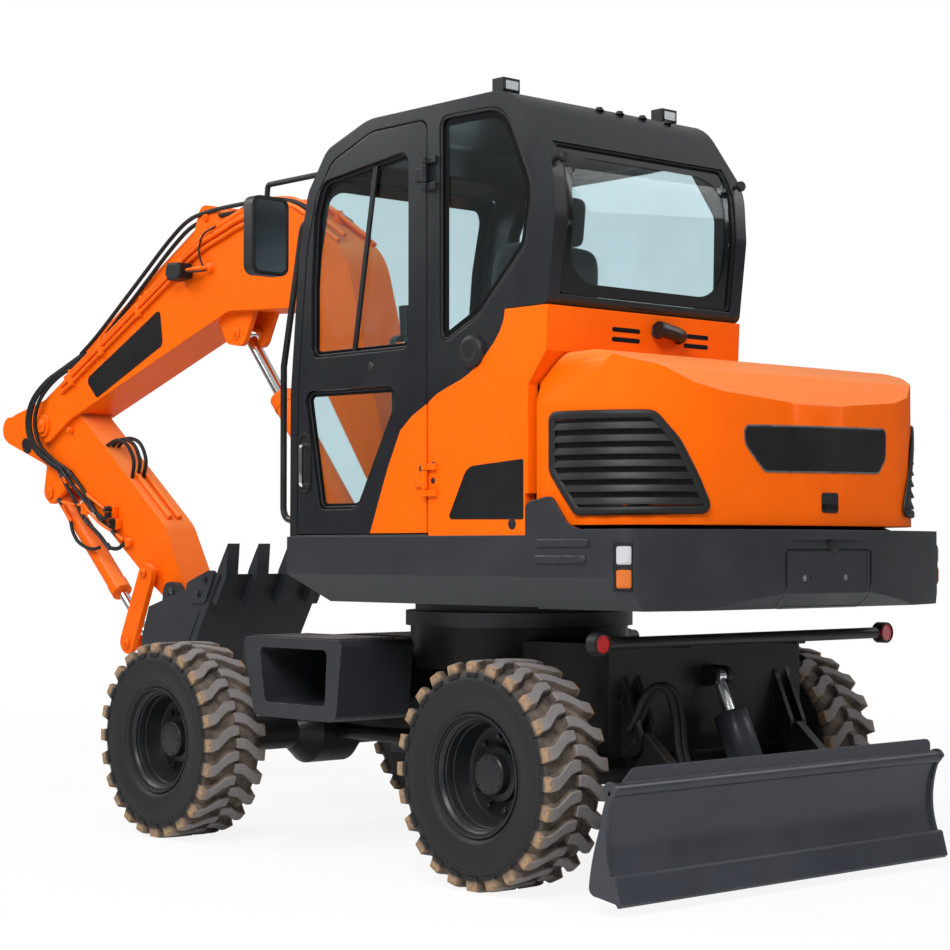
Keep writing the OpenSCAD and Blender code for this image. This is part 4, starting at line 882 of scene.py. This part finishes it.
SLAT_TOP, SLAT_STEP, SLATS = 1702, 44.0, 7
BACK_LOW, BACK_STEP, BACK_ROWS = 1403, 11, 29
SLAT = ((0, 3), (-3, 4), (-24, 12), (-27, 12), (-27, 9.5), (-5, 2.4))
frames, slats, shade_sheets = [], [], []
for side in (1, -1):
    frames.append(louvre_frame(side))
    tops = [SLAT_TOP - SLAT_STEP * k for k in range(SLATS)]
    slats += [strips([(top + z, out) for z, out in SLAT], side) for top in tops]
    levels = [BACK_LOW + BACK_STEP * k for k in range(BACK_ROWS)]
    # Dark sheet behind the slats: painted shade standing in for the shaded inside of the hood
    shade_sheets.append(strips([(z, 1.6) for z in levels] + [(z, 1.0) for z in reversed(levels)], side))
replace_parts(piece("louvre_frames", frames, PLASTIC, "hood", angle=50), "hood_louvres")
piece("louvre_slats", slats, PLASTIC, "hood")
piece("louvre_shade_sheets", shade_sheets, FRIT, "hood")
plate_line = rounded([(386, 1692, 20), (-428, 1706, 20), (-424, 1600, 40), (-378, 1545, 26), (288, 1536, 40),
                      (384, 1630, 50)], 5)
for name, outline, low, high, rings, look in (
        ("badge_rim", offset(plate_line, 7), 0.2, 2.2, 8, STEEL),
        ("badge_plate", plate_line, 0.4, 4.0, 8, BADGE),
        ("hood_latch", rect(-8, 1462, -108, 1388, 12), 0.2, 2.6, 4, PLASTIC),
        ("hood_latch_pull", offset(rect(-8, 1428, -108, 1394, 8), -8), 2.0, 8.0, 3, FRIT)):
    piece(name, [skin(outline, "x", 1, "hood", low, high, rings)], look, "hood", angle=60)
# Dark thin plates in the vent slots: painted shade of their openings
vent_shades = [skin(rect(y0, z, y1, z + 17, 8), "x", 1, "side_panel", 0.2, 0.9, 3)
         for y0, y1 in ((424, 573), (46, 182)) for z in (2052, 2016)]
piece("cowl_vent_shades", vent_shades, FRIT, "upper")

# Counterweight: side ribs, plate, lamp

ribs = []
for side in (1, -1):
    for z, front, rear in ((1262, -1345, -1606), (1204, -1336, -1590)):
        for inset, low, high in ((0, -1, 4), (4, 3, 8)):
            rib = rect(front - inset, z + inset, rear + inset, z + 30 - inset, 9)
            ribs.append(skin(rib, "y", -side, "counterweight", low, high, 4))
piece("weight_ribs", ribs, CHARCOAL, "upper", angle=45)
holder = dense(rect(232, 1250, -254, 1046, 16), 24)
piece("plate_seam", [skin_ring(offset(holder, 6), holder, "x", 1, "counterweight", 0.2, 1.8, 1)], FRIT, "upper")
plate_bolts = [bolt(thrown("counterweight", "x", 1, y, 1150, 0.2), BACK, 8, 6) for y in (132, -104)]
piece("plate_bolts", plate_bolts, STEEL, "upper")
dome = [(0, 11.5), (14, 11), (23, 9.5), (28, 6.5), (30, 3.5), (34, 2.5), (34, 0), (0, 0)]
piece("plate_lamp", [turned(dome, 28, thrown("counterweight", "x", 1, -35, 1276, -0.5), BACK)], PLASTIC, "upper")

# Boom and arm: pipes, hoses, lamp, blank plates and pin caps

BOOM_LEFT, BOOM_RIGHT, ARM_LEFT = BOOM_Y + 125, BOOM_Y - 125, BOOM_Y + 95
HOSE_R = 11
BOOM_TOP = [(1136, 2706), (1290, 2800), (1456, 2897), (1600, 2938), (1841, 2945), (2040, 2899), (2273, 2830),
            (2600, 2667), (3000, 2467), (3400, 2267), (3560, 2187)]


def line(points, y=0.0, dx=0.0):
    """Path of (x, out, z) points, out measured from the plane y."""
    return [at(x + dx, y + out, z) for x, out, z in points]


def along(points, y, lift=0.0):
    """Path of (x, z) points in the plane y."""
    return [at(x, y, z + lift) for x, z in points]


def runs(name, paths, r, look, body, sides=10, per=6):
    """Pipes or hoses of one radius."""
    return piece(name, [tube(path, r, sides, per) for path in paths], look, body, angle=60)


def lathed(name, profile, seg, spots, axis, look, body, slot=None):
    return piece(name, [turned(profile, seg, spot, axis) for spot in spots], look, body, slot)


pipes = [tube(along(BOOM_TOP, BOOM_Y + s * dy, lift), 12, 10, 5) for s in (1, -1) for dy, lift in ((111, 15), (76, 44))]
pipes += [tube(along(BOOM_TOP[3:], BOOM_LEFT + 13, -drop), 11, 10, 5) for drop in (30, 68)]
piece("boom_pipes", pipes, ORANGE, "boom", angle=60)
clamps = []
for x, z in ((1373, 2849), (1720, 2942), (2156, 2866), (2800, 2567), (3200, 2367), (3500, 2217)):
    for s in (1, -1):
        for dy, half, rise in ((76, 18, 61), (108, 17, 31)):
            y = BOOM_Y + s * dy
            clamps.append(block((x - 17, y - half, z - 8), (x + 17, y + half, z + rise)))
slope = Vector((2, -1)).normalized()
fall = Vector((slope.y, -slope.x))
for spot in ((2420, 2757), (2820, 2557), (3180, 2377), (3480, 2227)):
    corners = [Vector(spot) + slope * run + fall * drop for run, drop in ((-16, 8), (16, 8), (16, 82), (-16, 82))]
    clamps.append(plate([tuple(corner) for corner in corners], "y", BOOM_LEFT + 0.2, BOOM_LEFT + 27))
piece("boom_clamps", clamps, ORANGE, "boom", bevel=4)
TOP_HOSE = [(1290, 2850), (1480, 2945), (1700, 2985), (1950, 2990), (2200, 2985), (2389, 2960), (2569, 2872),
            (2848, 2689), (3236, 2434), (3420, 2330)]
hoses = [along(TOP_HOSE, BOOM_Y + dy, dz) for dy, dz in ((98, 0), (74, -30), (-92, -4))]
runs("boom_hoses", hoses, HOSE_R, HOSE, "boom")

# Hoses that cross the arm's joint on the left, each (along, out) from the first line
ARM_RUNS = ((26, 0), (-14, 6), (-50, -4))
CROSSING = [(3390, -36, 2330), (3540, -10, 2262), (3690, 16, 2190), (3810, 34, 2085), (3848, 40, 1955),
            (3800, 30, 1830), (3700, 4, 1748), (3600, -10, 1700)]
crossings = [line(CROSSING, BOOM_LEFT + dy, dx) for dx, dy in ARM_RUNS]
joint_hoses = runs("joint_hoses", crossings, HOSE_R, HOSE, None, per=7)
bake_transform(joint_hoses)
loops = []
for k in range(3):
    path = [(3210 - 8 * k, 0, 1812), (3090, 6, 1842 + 6 * k), (2985 - 10 * k, 10, 1812 + 6 * k),
            (2930 - 8 * k, 4, 1728), (2948, 0, 1636)]
    loops.append(line(path, ARM_LEFT - 24 - 34 * k))
runs("arm_loops", loops, 10, HOSE, "arm", per=7)

# Hoses, pipes and fittings on the arm's left face
FACE_HOSES = [[(3580, 1654), (3540, 1610), (3452, 1525), (3380, 1445), (3321, 1400), (3200, 1330), (3109, 1267),
               (3020, 1256), (2955, 1284)],
              [(3540, 1664), (3440, 1590), (3340, 1520), (3240, 1460), (3150, 1420), (3085, 1440)],
              [(3500, 1672), (3400, 1600), (3290, 1500), (3190, 1405), (3110, 1370), (3045, 1385)]]
face_hoses = [along([(3600 + dx, 1700)] + path, ARM_LEFT + 20 + dy) for (dx, dy), path in zip(ARM_RUNS, FACE_HOSES)]
runs("arm_hoses", face_hoses, HOSE_R, HOSE, "arm")
FACE_PIPES = [[(3560, 1640), (3485, 1612), (3403, 1584), (3288, 1528), (3141, 1463), (3080, 1440)],
              [(3600, 1519), (3500, 1502), (3403, 1495), (3321, 1491)],
              [(3330, 1478), (3250, 1430), (3174, 1388), (3043, 1340), (2960, 1300)]]
TOP_PIPE = [(2990, 1664), (2968, 1666), (2900, 1614), (2780, 1523), (2700, 1463), (2640, 1418)]
face_pipes = [tube(along(path, ARM_LEFT + 14 + 6 * k), 8, 10, 6) for k, path in enumerate(FACE_PIPES)]
face_pipes += [tube(along(TOP_PIPE, BOOM_Y + dy), 15, 12, 5) for dy in (38, -22)]
piece("arm_pipes", face_pipes, ORANGE, "arm", angle=60)
TOWARDS = (at(3109, 0, 1396) - at(3471, 0, 1648)).normalized()
NUT = [(0, -21), (12, -21), (15, -18), (15, -4), (11.5, -4), (11.5, 5), (14, 5), (14, 18), (0, 20)]
NUT_SPOTS = ((3580, 20, 1654), (3540, 26, 1664), (3500, 16, 1672), (3321, 20, 1400), (3109, 20, 1267), (3240, 26, 1460),
             (3190, 16, 1405), (3141, 14, 1463), (3600, 20, 1519), (3043, 26, 1340))
lathed("arm_fittings", NUT, 6, line(NUT_SPOTS, ARM_LEFT), TOWARDS, DARK_STEEL, "arm")
blocks = []
for x, z, w, h in ((3076, 1452, 30, 34), (3040, 1388, 32, 30), (3340, 1478, 34, 36), (3560, 1632, 26, 24)):
    blocks.append(plate(rect(x - w, z - h, x + w, z + h, 8, 3), "y", ARM_LEFT + 0.2, ARM_LEFT + 30))
for x, z, r in ((2921, 1286, 24), (3515, 1912, 16)):
    boss = [(0, 30), (r * 0.7, 30), (r * 0.94, 27), (r, 22), (r, 0.2), (0, 0.2)]
    blocks.append(turned(boss, 28, at(x, ARM_LEFT, z), LEFT))
piece("arm_blocks", blocks, ORANGE, "arm", bevel=3)
PORT = [(0, 34), (9, 34), (13, 30), (13, 16), (16, 14), (16, 4), (12, 4), (12, 0), (0, 0)]
port_spots = along(((3076, 1470), (3040, 1404), (3076, 1436), (3040, 1376)), ARM_LEFT + 29)
lathed("arm_ports", PORT, 20, port_spots, LEFT, PLASTIC, "arm")
rounds = [(54 * math.cos(t), 40 * math.sin(t)) for t in [2 * math.pi * k / 36 for k in range(36)]]
oval = [(3990 + a * 0.86 - b * 0.5, 1842 + a * 0.5 + b * 0.86) for a, b in rounds]
piece("arm_cover", [plate(oval, "y", ARM_LEFT + 0.2, ARM_LEFT + 5)], PLASTIC, "arm", bevel=2)

# Port pipe and hose of the bucket cylinder
BARREL_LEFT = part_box("bucket_barrel")[1][1] * 1000 + 12
port_pipe = line([(3640, -6, 1500), (3632, 0, 1478), (3590, 0, 1432), (3560, 0, 1404)], BARREL_LEFT)
runs("barrel_pipe", [port_pipe], 10, ORANGE, "bucket_barrel")
barrel_hose = line([(3566, 0, 1410), (3534, 6, 1352), (3470, 12, 1296), (3390, 8, 1262), (3330, 0, 1254),
                    (3290, -16, 1262)], BARREL_LEFT)
runs("barrel_hose", [barrel_hose], 10, HOSE, "bucket_barrel", per=7)

# Lamp and blank plates of the boom
lamp_line = rounded([(2290, 2640, 26), (2400, 2632, 20), (2424, 2672, 20), (2410, 2728, 22), (2296, 2722, 26)])
piece("boom_lamp", [plate(lamp_line, "y", BOOM_LEFT + 14, BOOM_LEFT + 104)], PLASTIC, "boom", bevel=12, segments=3)
bracket = line([(2156, -4, 2684), (2160, 40, 2684), (2230, 58, 2684), (2300, 58, 2682)], BOOM_LEFT)
boss = turned([(0, 26), (20, 26), (24, 22), (26, 0), (0, 0)], 24, at(2156, BOOM_LEFT - 1, 2684), LEFT)
piece("boom_lamp_bracket", [tube(bracket, 9, 10, 6), boss], ORANGE, "boom", angle=50)
cable = line([(2120, -6, 2898), (2190, 24, 2860), (2225, 30, 2780), (2190, 30, 2700), (2165, 34, 2672),
              (2240, 66, 2668), (2300, 60, 2672)], BOOM_LEFT)
runs("boom_lamp_cable", [cable], 5, HOSE, "boom", 8, 8)
boom_badge = rounded([(3327, 2180, 30), (2615, 2513, 24), (2585, 2322, 40), (3215, 2075, 24)])
piece("boom_badge", [plate(boom_badge, "y", BOOM_LEFT + 0.3, BOOM_LEFT + 2)], BADGE, "boom")
piece("boom_badge_right", [plate(boom_badge, "y", BOOM_RIGHT - 2, BOOM_RIGHT - 0.3)], BADGE, "boom")


CAP_TOP = 0.0078


def pin_caps(name, node, x, z, r, look):
    """Cap with its bolt on both ends of a node's pin."""
    cap = [(0, 8), (r * 0.62, 8), (r * 0.70, 5), (r * 0.94, 5), (r, 3.5), (r, 0), (0, 0)]
    caps = []
    for way, out in ((-1, LEFT), (1, RIGHT)):
        start = thrown(node, "y", way, x, z, 0.2)
        caps += [turned(cap, 32, start, out), bolt(start + out * CAP_TOP, out, r * 0.30, 6)]
    piece(name, caps, look, node)


pin_caps("arm_pin_caps", "arm", 3755.9, 1945.1, 40, ORANGE)
pin_caps("arm_tail_caps", "arm_rod", 4186.6, 1941.8, 30, ORANGE)
pin_caps("boom_pin_caps", "boom", 2249.6, 2960.5, 24, ORANGE)
pin_caps("rocker_pin_caps", "arm", 2699.8, 1129.5, 26, ORANGE)
pin_caps("lift_eye_caps", "boom", 2002.3, 2342.2, 34, ORANGE)
pin_caps("cylinder_base_caps", "arm", 3755.3, 1569.7, 34, ORANGE)
pin_caps("rocker_eye_caps", "rocker", 2855, 753.3, 28, ORANGE)
pin_caps("bucket_pin_caps", "bucket", 2500.2, 1021.1, 32, DARK_STEEL)
pin_caps("post_pin_caps", "swing_post", 797, 1450, 30, CHARCOAL)


# Lamps, tail pipe's mouth, mirrors, roof bolts and seat

LAMP_HALF, LAMP_LOW, LAMP_HIGH = 29, 1116, 1270
clear, amber, shrouds = [], [], []
for side in (1, -1):
    out = Vector((-1, side, 0)).normalized()
    across = Vector((1, side, 0)).normalized()

    def on_lamp(u, v):
        spot = at(-1750, side * 880, v) + across * u / 1000
        return hit("tail_lamps", spot + out * 0.5, -out)

    shrouds.append(skin_where(rect(-LAMP_HALF, LAMP_LOW, LAMP_HALF, LAMP_HIGH, 8), on_lamp, 0.1, 4, 3))
    for low, high, kept in ((1197, LAMP_HIGH, clear), (LAMP_LOW, 1189, amber)):
        for inset, foot, top in ((5, 0.3, 6), (10, 4, 9)):
            lens = rect(-LAMP_HALF + inset, low + inset, LAMP_HALF - inset, high - inset, 8)
            kept.append(skin_where(lens, on_lamp, foot, top, 3))
piece("lamp_shrouds", shrouds, PLASTIC, "upper", angle=50)
piece("lamp_clear", clear, CLEAR_LENS, "upper", angle=50)
piece("lamp_amber", amber, AMBER_LENS, "upper", angle=50)
RED_LAMP_Y = 0.8145
lo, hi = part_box("tail_reflectors")
RED_LAMPS = [Vector((lo[0], side * RED_LAMP_Y, (lo[2] + hi[2]) / 2)) for side in (1, -1)]
rim = [(33, 0.3), (33, 3), (36, 4), (39, 2), (39.5, 0.3)]
lathed("reflector_rims", rim, 32, RED_LAMPS, BACK, RUBBER, "chassis")
mouth = [(0, 0.6), (25, 0.6), (25.5, 4), (31, 5), (33.5, 2), (33.5, -8), (31, -9)]
MOUTH_WAY = Vector((0, 140, 24)).normalized()
mouth_spot = thrown("exhaust", "y", -1, -1428, 2070, 0.0)
lathed("exhaust_mouth", mouth, 40, [mouth_spot], MOUTH_WAY, BLACK, "upper", "black_plastic")
lenses, bezels = [], []
lamp_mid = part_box("work_lamps")[1][2] * 1000 - 26
for y in (815, -44):
    lens = rect(y - 36, lamp_mid - 20, y + 36, lamp_mid + 20, 7)
    lenses.append(plate(offset(lens, -4), "x", -1122.6, -1120.2))
    bezels.append(ring_plate(offset(lens, 3), offset(lens, -4), "x", -1124, -1119))
piece("work_lenses", lenses, CLEAR_LENS, "upper")
piece("work_bezels", bezels, PLASTIC, "upper", bevel=1.5)
for name, x, y, z in (("left", 350, 838, 2560), ("right", 150, -838, 2120)):
    face = rect(y - 80, z - 150, y + 80, z + 150, 30)
    piece("mirror_glass_" + name, [plate(face, "x", x - 31.5, x - 30.2)], MIRROR, "upper")
    mirror_rim = ring_plate(offset(face, 12), offset(face, -1), "x", x - 34, x - 29)
    piece("mirror_rim_" + name, [mirror_rim], PLASTIC, "upper", bevel=1.5)
roof_bolts = [bolt(thrown("cab_frame", "z", -1, -1213, y, 0.0), UP, 13, 14) for y in (447, 337, 211, 69)]
piece("roof_bolts", roof_bolts, PLASTIC, "upper")


def cushion(low, high, lean=0.0, power=0.28, cols=28, rows=20):
    """Crowned pad between two corners, its top moved back by lean."""
    c = [(a + b) / 2 for a, b in zip(low, high)]
    h = [(b - a) / 2 for a, b in zip(low, high)]

    def curl(value):
        return math.copysign(abs(value) ** power, value)

    verts, faces = [], []
    for r in range(rows + 1):
        tilt = -math.pi / 2 + math.pi * r / rows
        for k in range(cols):
            turn = 2 * math.pi * k / cols
            x = curl(math.cos(tilt)) * curl(math.cos(turn))
            y = curl(math.cos(tilt)) * curl(math.sin(turn))
            z = curl(math.sin(tilt))
            verts.append(at(c[0] + h[0] * x + lean * z, c[1] + h[1] * y, c[2] + h[2] * z))
    return verts, grid(rows + 1, cols)


SEAT_X, SEAT_Y, FLOOR_Z = SEAT = (-634.7, 385.5, 1355.0)
pads = {"seat_pad": ((-262, -256, 325), (280, 256, 452), 0.0),
        "seat_back": ((-262, -246, 440), (-138, 246, 1082), -40.0),
        "seat_head": ((-318, -132, 1080), (-232, 132, 1270), -10.0)}
for name, (low, high, lean) in pads.items():
    corners = [[a + b for a, b in zip(corner, SEAT)] for corner in (low, high)]
    pad = piece(name, [cushion(*corners, lean)], SEAT_CLOTH, "upper", angle=70)
    if name == "seat_pad":
        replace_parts(pad, "seat")
base = block((SEAT_X - 230, SEAT_Y - 210, FLOOR_Z + 1), (SEAT_X + 210, SEAT_Y + 210, FLOOR_Z + 328))
POST = [(SEAT_X - 268, 0, FLOOR_Z + 1040), (SEAT_X - 275, 0, FLOOR_Z + 1110)]
posts = [tube(line(POST, SEAT_Y + dy), 7, 10, 0) for dy in (-60, 60)]
piece("seat_base", [base, *posts], PLASTIC, "upper", bevel=6)


# Dozer blade: smooth moldboard, boxed ends, cutting bar, push arms and cylinder lugs

EDGE, TOP, BLADE_HALF = Vector((-1783, 43)), Vector((-1744, 424)), 937.5
CHORD = (TOP - EDGE).normalized()
SAG = 62.0
ARC_R = ((TOP - EDGE).length_squared / 4 + SAG * SAG) / (2 * SAG)
ARC_C = (TOP + EDGE) / 2 + (ARC_R - SAG) * Vector((-CHORD.y, CHORD.x))
ARC_FROM, ARC_TO = [math.atan2((p - ARC_C).y, (p - ARC_C).x) for p in (EDGE, TOP)]


def face_arc(shift, low=0.0, high=1.0, n=24):
    """Points on the moldboard's arc, moved towards the machine by shift."""
    turns = [ARC_FROM + (ARC_TO - ARC_FROM) * (low + (high - low) * k / n) for k in range(n + 1)]
    return [tuple(ARC_C + (ARC_R + shift) * Vector((math.cos(t), math.sin(t)))) for t in turns]


boards = [ring_plate(face_arc(0), face_arc(16), "y", -BLADE_HALF + 2, BLADE_HALF - 2, closed=False)]
ROLL = [(0, 2 - BLADE_HALF), (22, 2 - BLADE_HALF), (24, 4 - BLADE_HALF), (24, BLADE_HALF - 4), (22, BLADE_HALF - 2),
        (0, BLADE_HALF - 2)]
boards.append(turned(ROLL, 40, at(TOP.x + 6, 0, TOP.y + 6), LEFT))
spill = rounded([(-887.5, 424, 0), (-887.5, 502, 26), (817.5, 502, 40), (907.5, 424, 0)])
boards.append(plate(spill, "x", TOP.x + 6, TOP.x + 18))
bar = [(EDGE.x + u, EDGE.y + v) for u, v in ((0, 0), (34, 6), (56, 86), (36, 97), (24, 92))]
boards.append(plate(bar, "y", -BLADE_HALF + 1, BLADE_HALF - 1))
rear_line = [(u - 14 * math.sin(math.pi * k / 28) ** 0.5, v) for k, (u, v) in enumerate(face_arc(0, 0.0, 0.93))]
crown_turns = [math.pi - 0.15 - (math.pi - 0.3) * k / 16 for k in range(17)]
crown = [(TOP.x + 8 + 34 * math.cos(t), TOP.y + 4 + 32 * math.sin(t)) for t in crown_turns]
front_line = [(EDGE.x + u, EDGE.y + v) for u, v in ((100, 16), (128, 20), (144, 30))]
front_line += [(EDGE.x + 150 - 112 * t ** 1.6, EDGE.y + 30 + (TOP.y - EDGE.y - 20) * t)
               for t in [k / 24 for k in range(1, 25)]]
end_line = rear_line + crown + front_line[::-1]
PUSH_ARM = rounded([(-1368, 580, 30), (-1446, 580, 36), (-1674, 384, 0), (-1707, 163, 0), (-1633, 193, 30),
                    (-1368, 500, 30)])
CYLINDER_LUG = rounded([(-1716, 390, 0), (-1694, 300, 0), (-1698, 210, 0), (-1564, 286, 30), (-1564, 370, 30)])
arms = []
for s in (-1, 1):
    boards.append(plate(end_line, "y", *sorted((s * (BLADE_HALF - 16), s * BLADE_HALF))))
    arms.append(plate(PUSH_ARM, "y", s * 430 - 23, s * 430 + 23))
    arms.append(plate(CYLINDER_LUG, "y", *sorted((s * 56, s * 76))))
CYL_FOOT = at(-1600, 0, 330)
arms.append(turned([(0, -82), (16, -82), (18, -80), (18, 80), (16, 82), (0, 82)], 32, CYL_FOOT, LEFT))
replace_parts(piece("blade_body", boards, BLADE_PAINT, "blade", bevel=3), "blade")
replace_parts(piece("blade_arms", arms, BLACK, "blade", "charcoal_paint", bevel=3), "blade")
end_bolts = [bolt(at(TOP.x + 4, s * (BLADE_HALF - 12.5), TOP.y + 6), LEFT * s, 9, 12) for s in (-1, 1)]
piece("blade_bolts", end_bolts, DARK_STEEL, "blade")

# Hoses and collar of the blade cylinder

BLADE_LOOP = [(-1396, 486, 590), (-1420, 474, 640), (-1440, 450, 712), (-1458, 404, 752), (-1474, 352, 718),
              (-1484, 330, 620), (-1504, 338, 520), (-1536, 338, 440), (-1580, 326, 372)]
for name, dy in (("left", 34), ("right", 0)):
    hose = runs("blade_hose_" + name, [line(BLADE_LOOP, -dy)], 14, HOSE, None, 12, 8)
    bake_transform(hose)
CYL_WAY = (at(-1400, 0, 772) - CYL_FOOT).normalized()
collar = [(53, 118), (64, 122), (67, 128), (67, 322), (64, 330), (58, 333), (40, 333), (40, 331)]
lathed("blade_barrel_collar", collar, 48, [CYL_FOOT], CYL_WAY, BLADE_PAINT, "blade_barrel")

# Black sleeves round the red lamps

sleeve = [(39.3, -1), (41.5, -1), (41.5, -44), (38, -46.4), (20, -46.4), (20, -45.4), (39.3, -43)]
lathed("reflector_sleeves", sleeve, 40, RED_LAMPS, BACK, PLASTIC, "chassis")

# Tread on the step boxes

STEP_X, STEP_TOP = (-180, 467), 892
treads = []
for y in [s * (560 + 34 * k) for s in (1, -1) for k in range(9)]:
    treads.append(block((STEP_X[0] + 30, y - 6, STEP_TOP - 1), (STEP_X[1] - 30, y + 6, STEP_TOP + 5)))
piece("step_tread", treads, DARK_STEEL, "chassis", bevel=2)

# Pressed panels and cutter bolts of the bucket

BUCKET_HALF = 325
panel_line = rounded([(2345, 832, 12), (1952, 960, 12), (2062, 776, 30), (2180, 560, 40), (2392, 556, 40)])
panels = [plate(panel_line, "y", *sorted(BOOM_Y + s * (BUCKET_HALF + lift) for lift in (0.2, 5))) for s in (1, -1)]
cutter_bolts = [bolt(at(x, BOOM_Y + BUCKET_HALF + 12, z), LEFT, 15, 13) for x, z in ((1898, 1104), (1958, 1032))]
piece("bucket_panels", panels, CHARCOAL, "bucket", bevel=3)
piece("bucket_bolts", cutter_bolts, DARK_STEEL, "bucket")
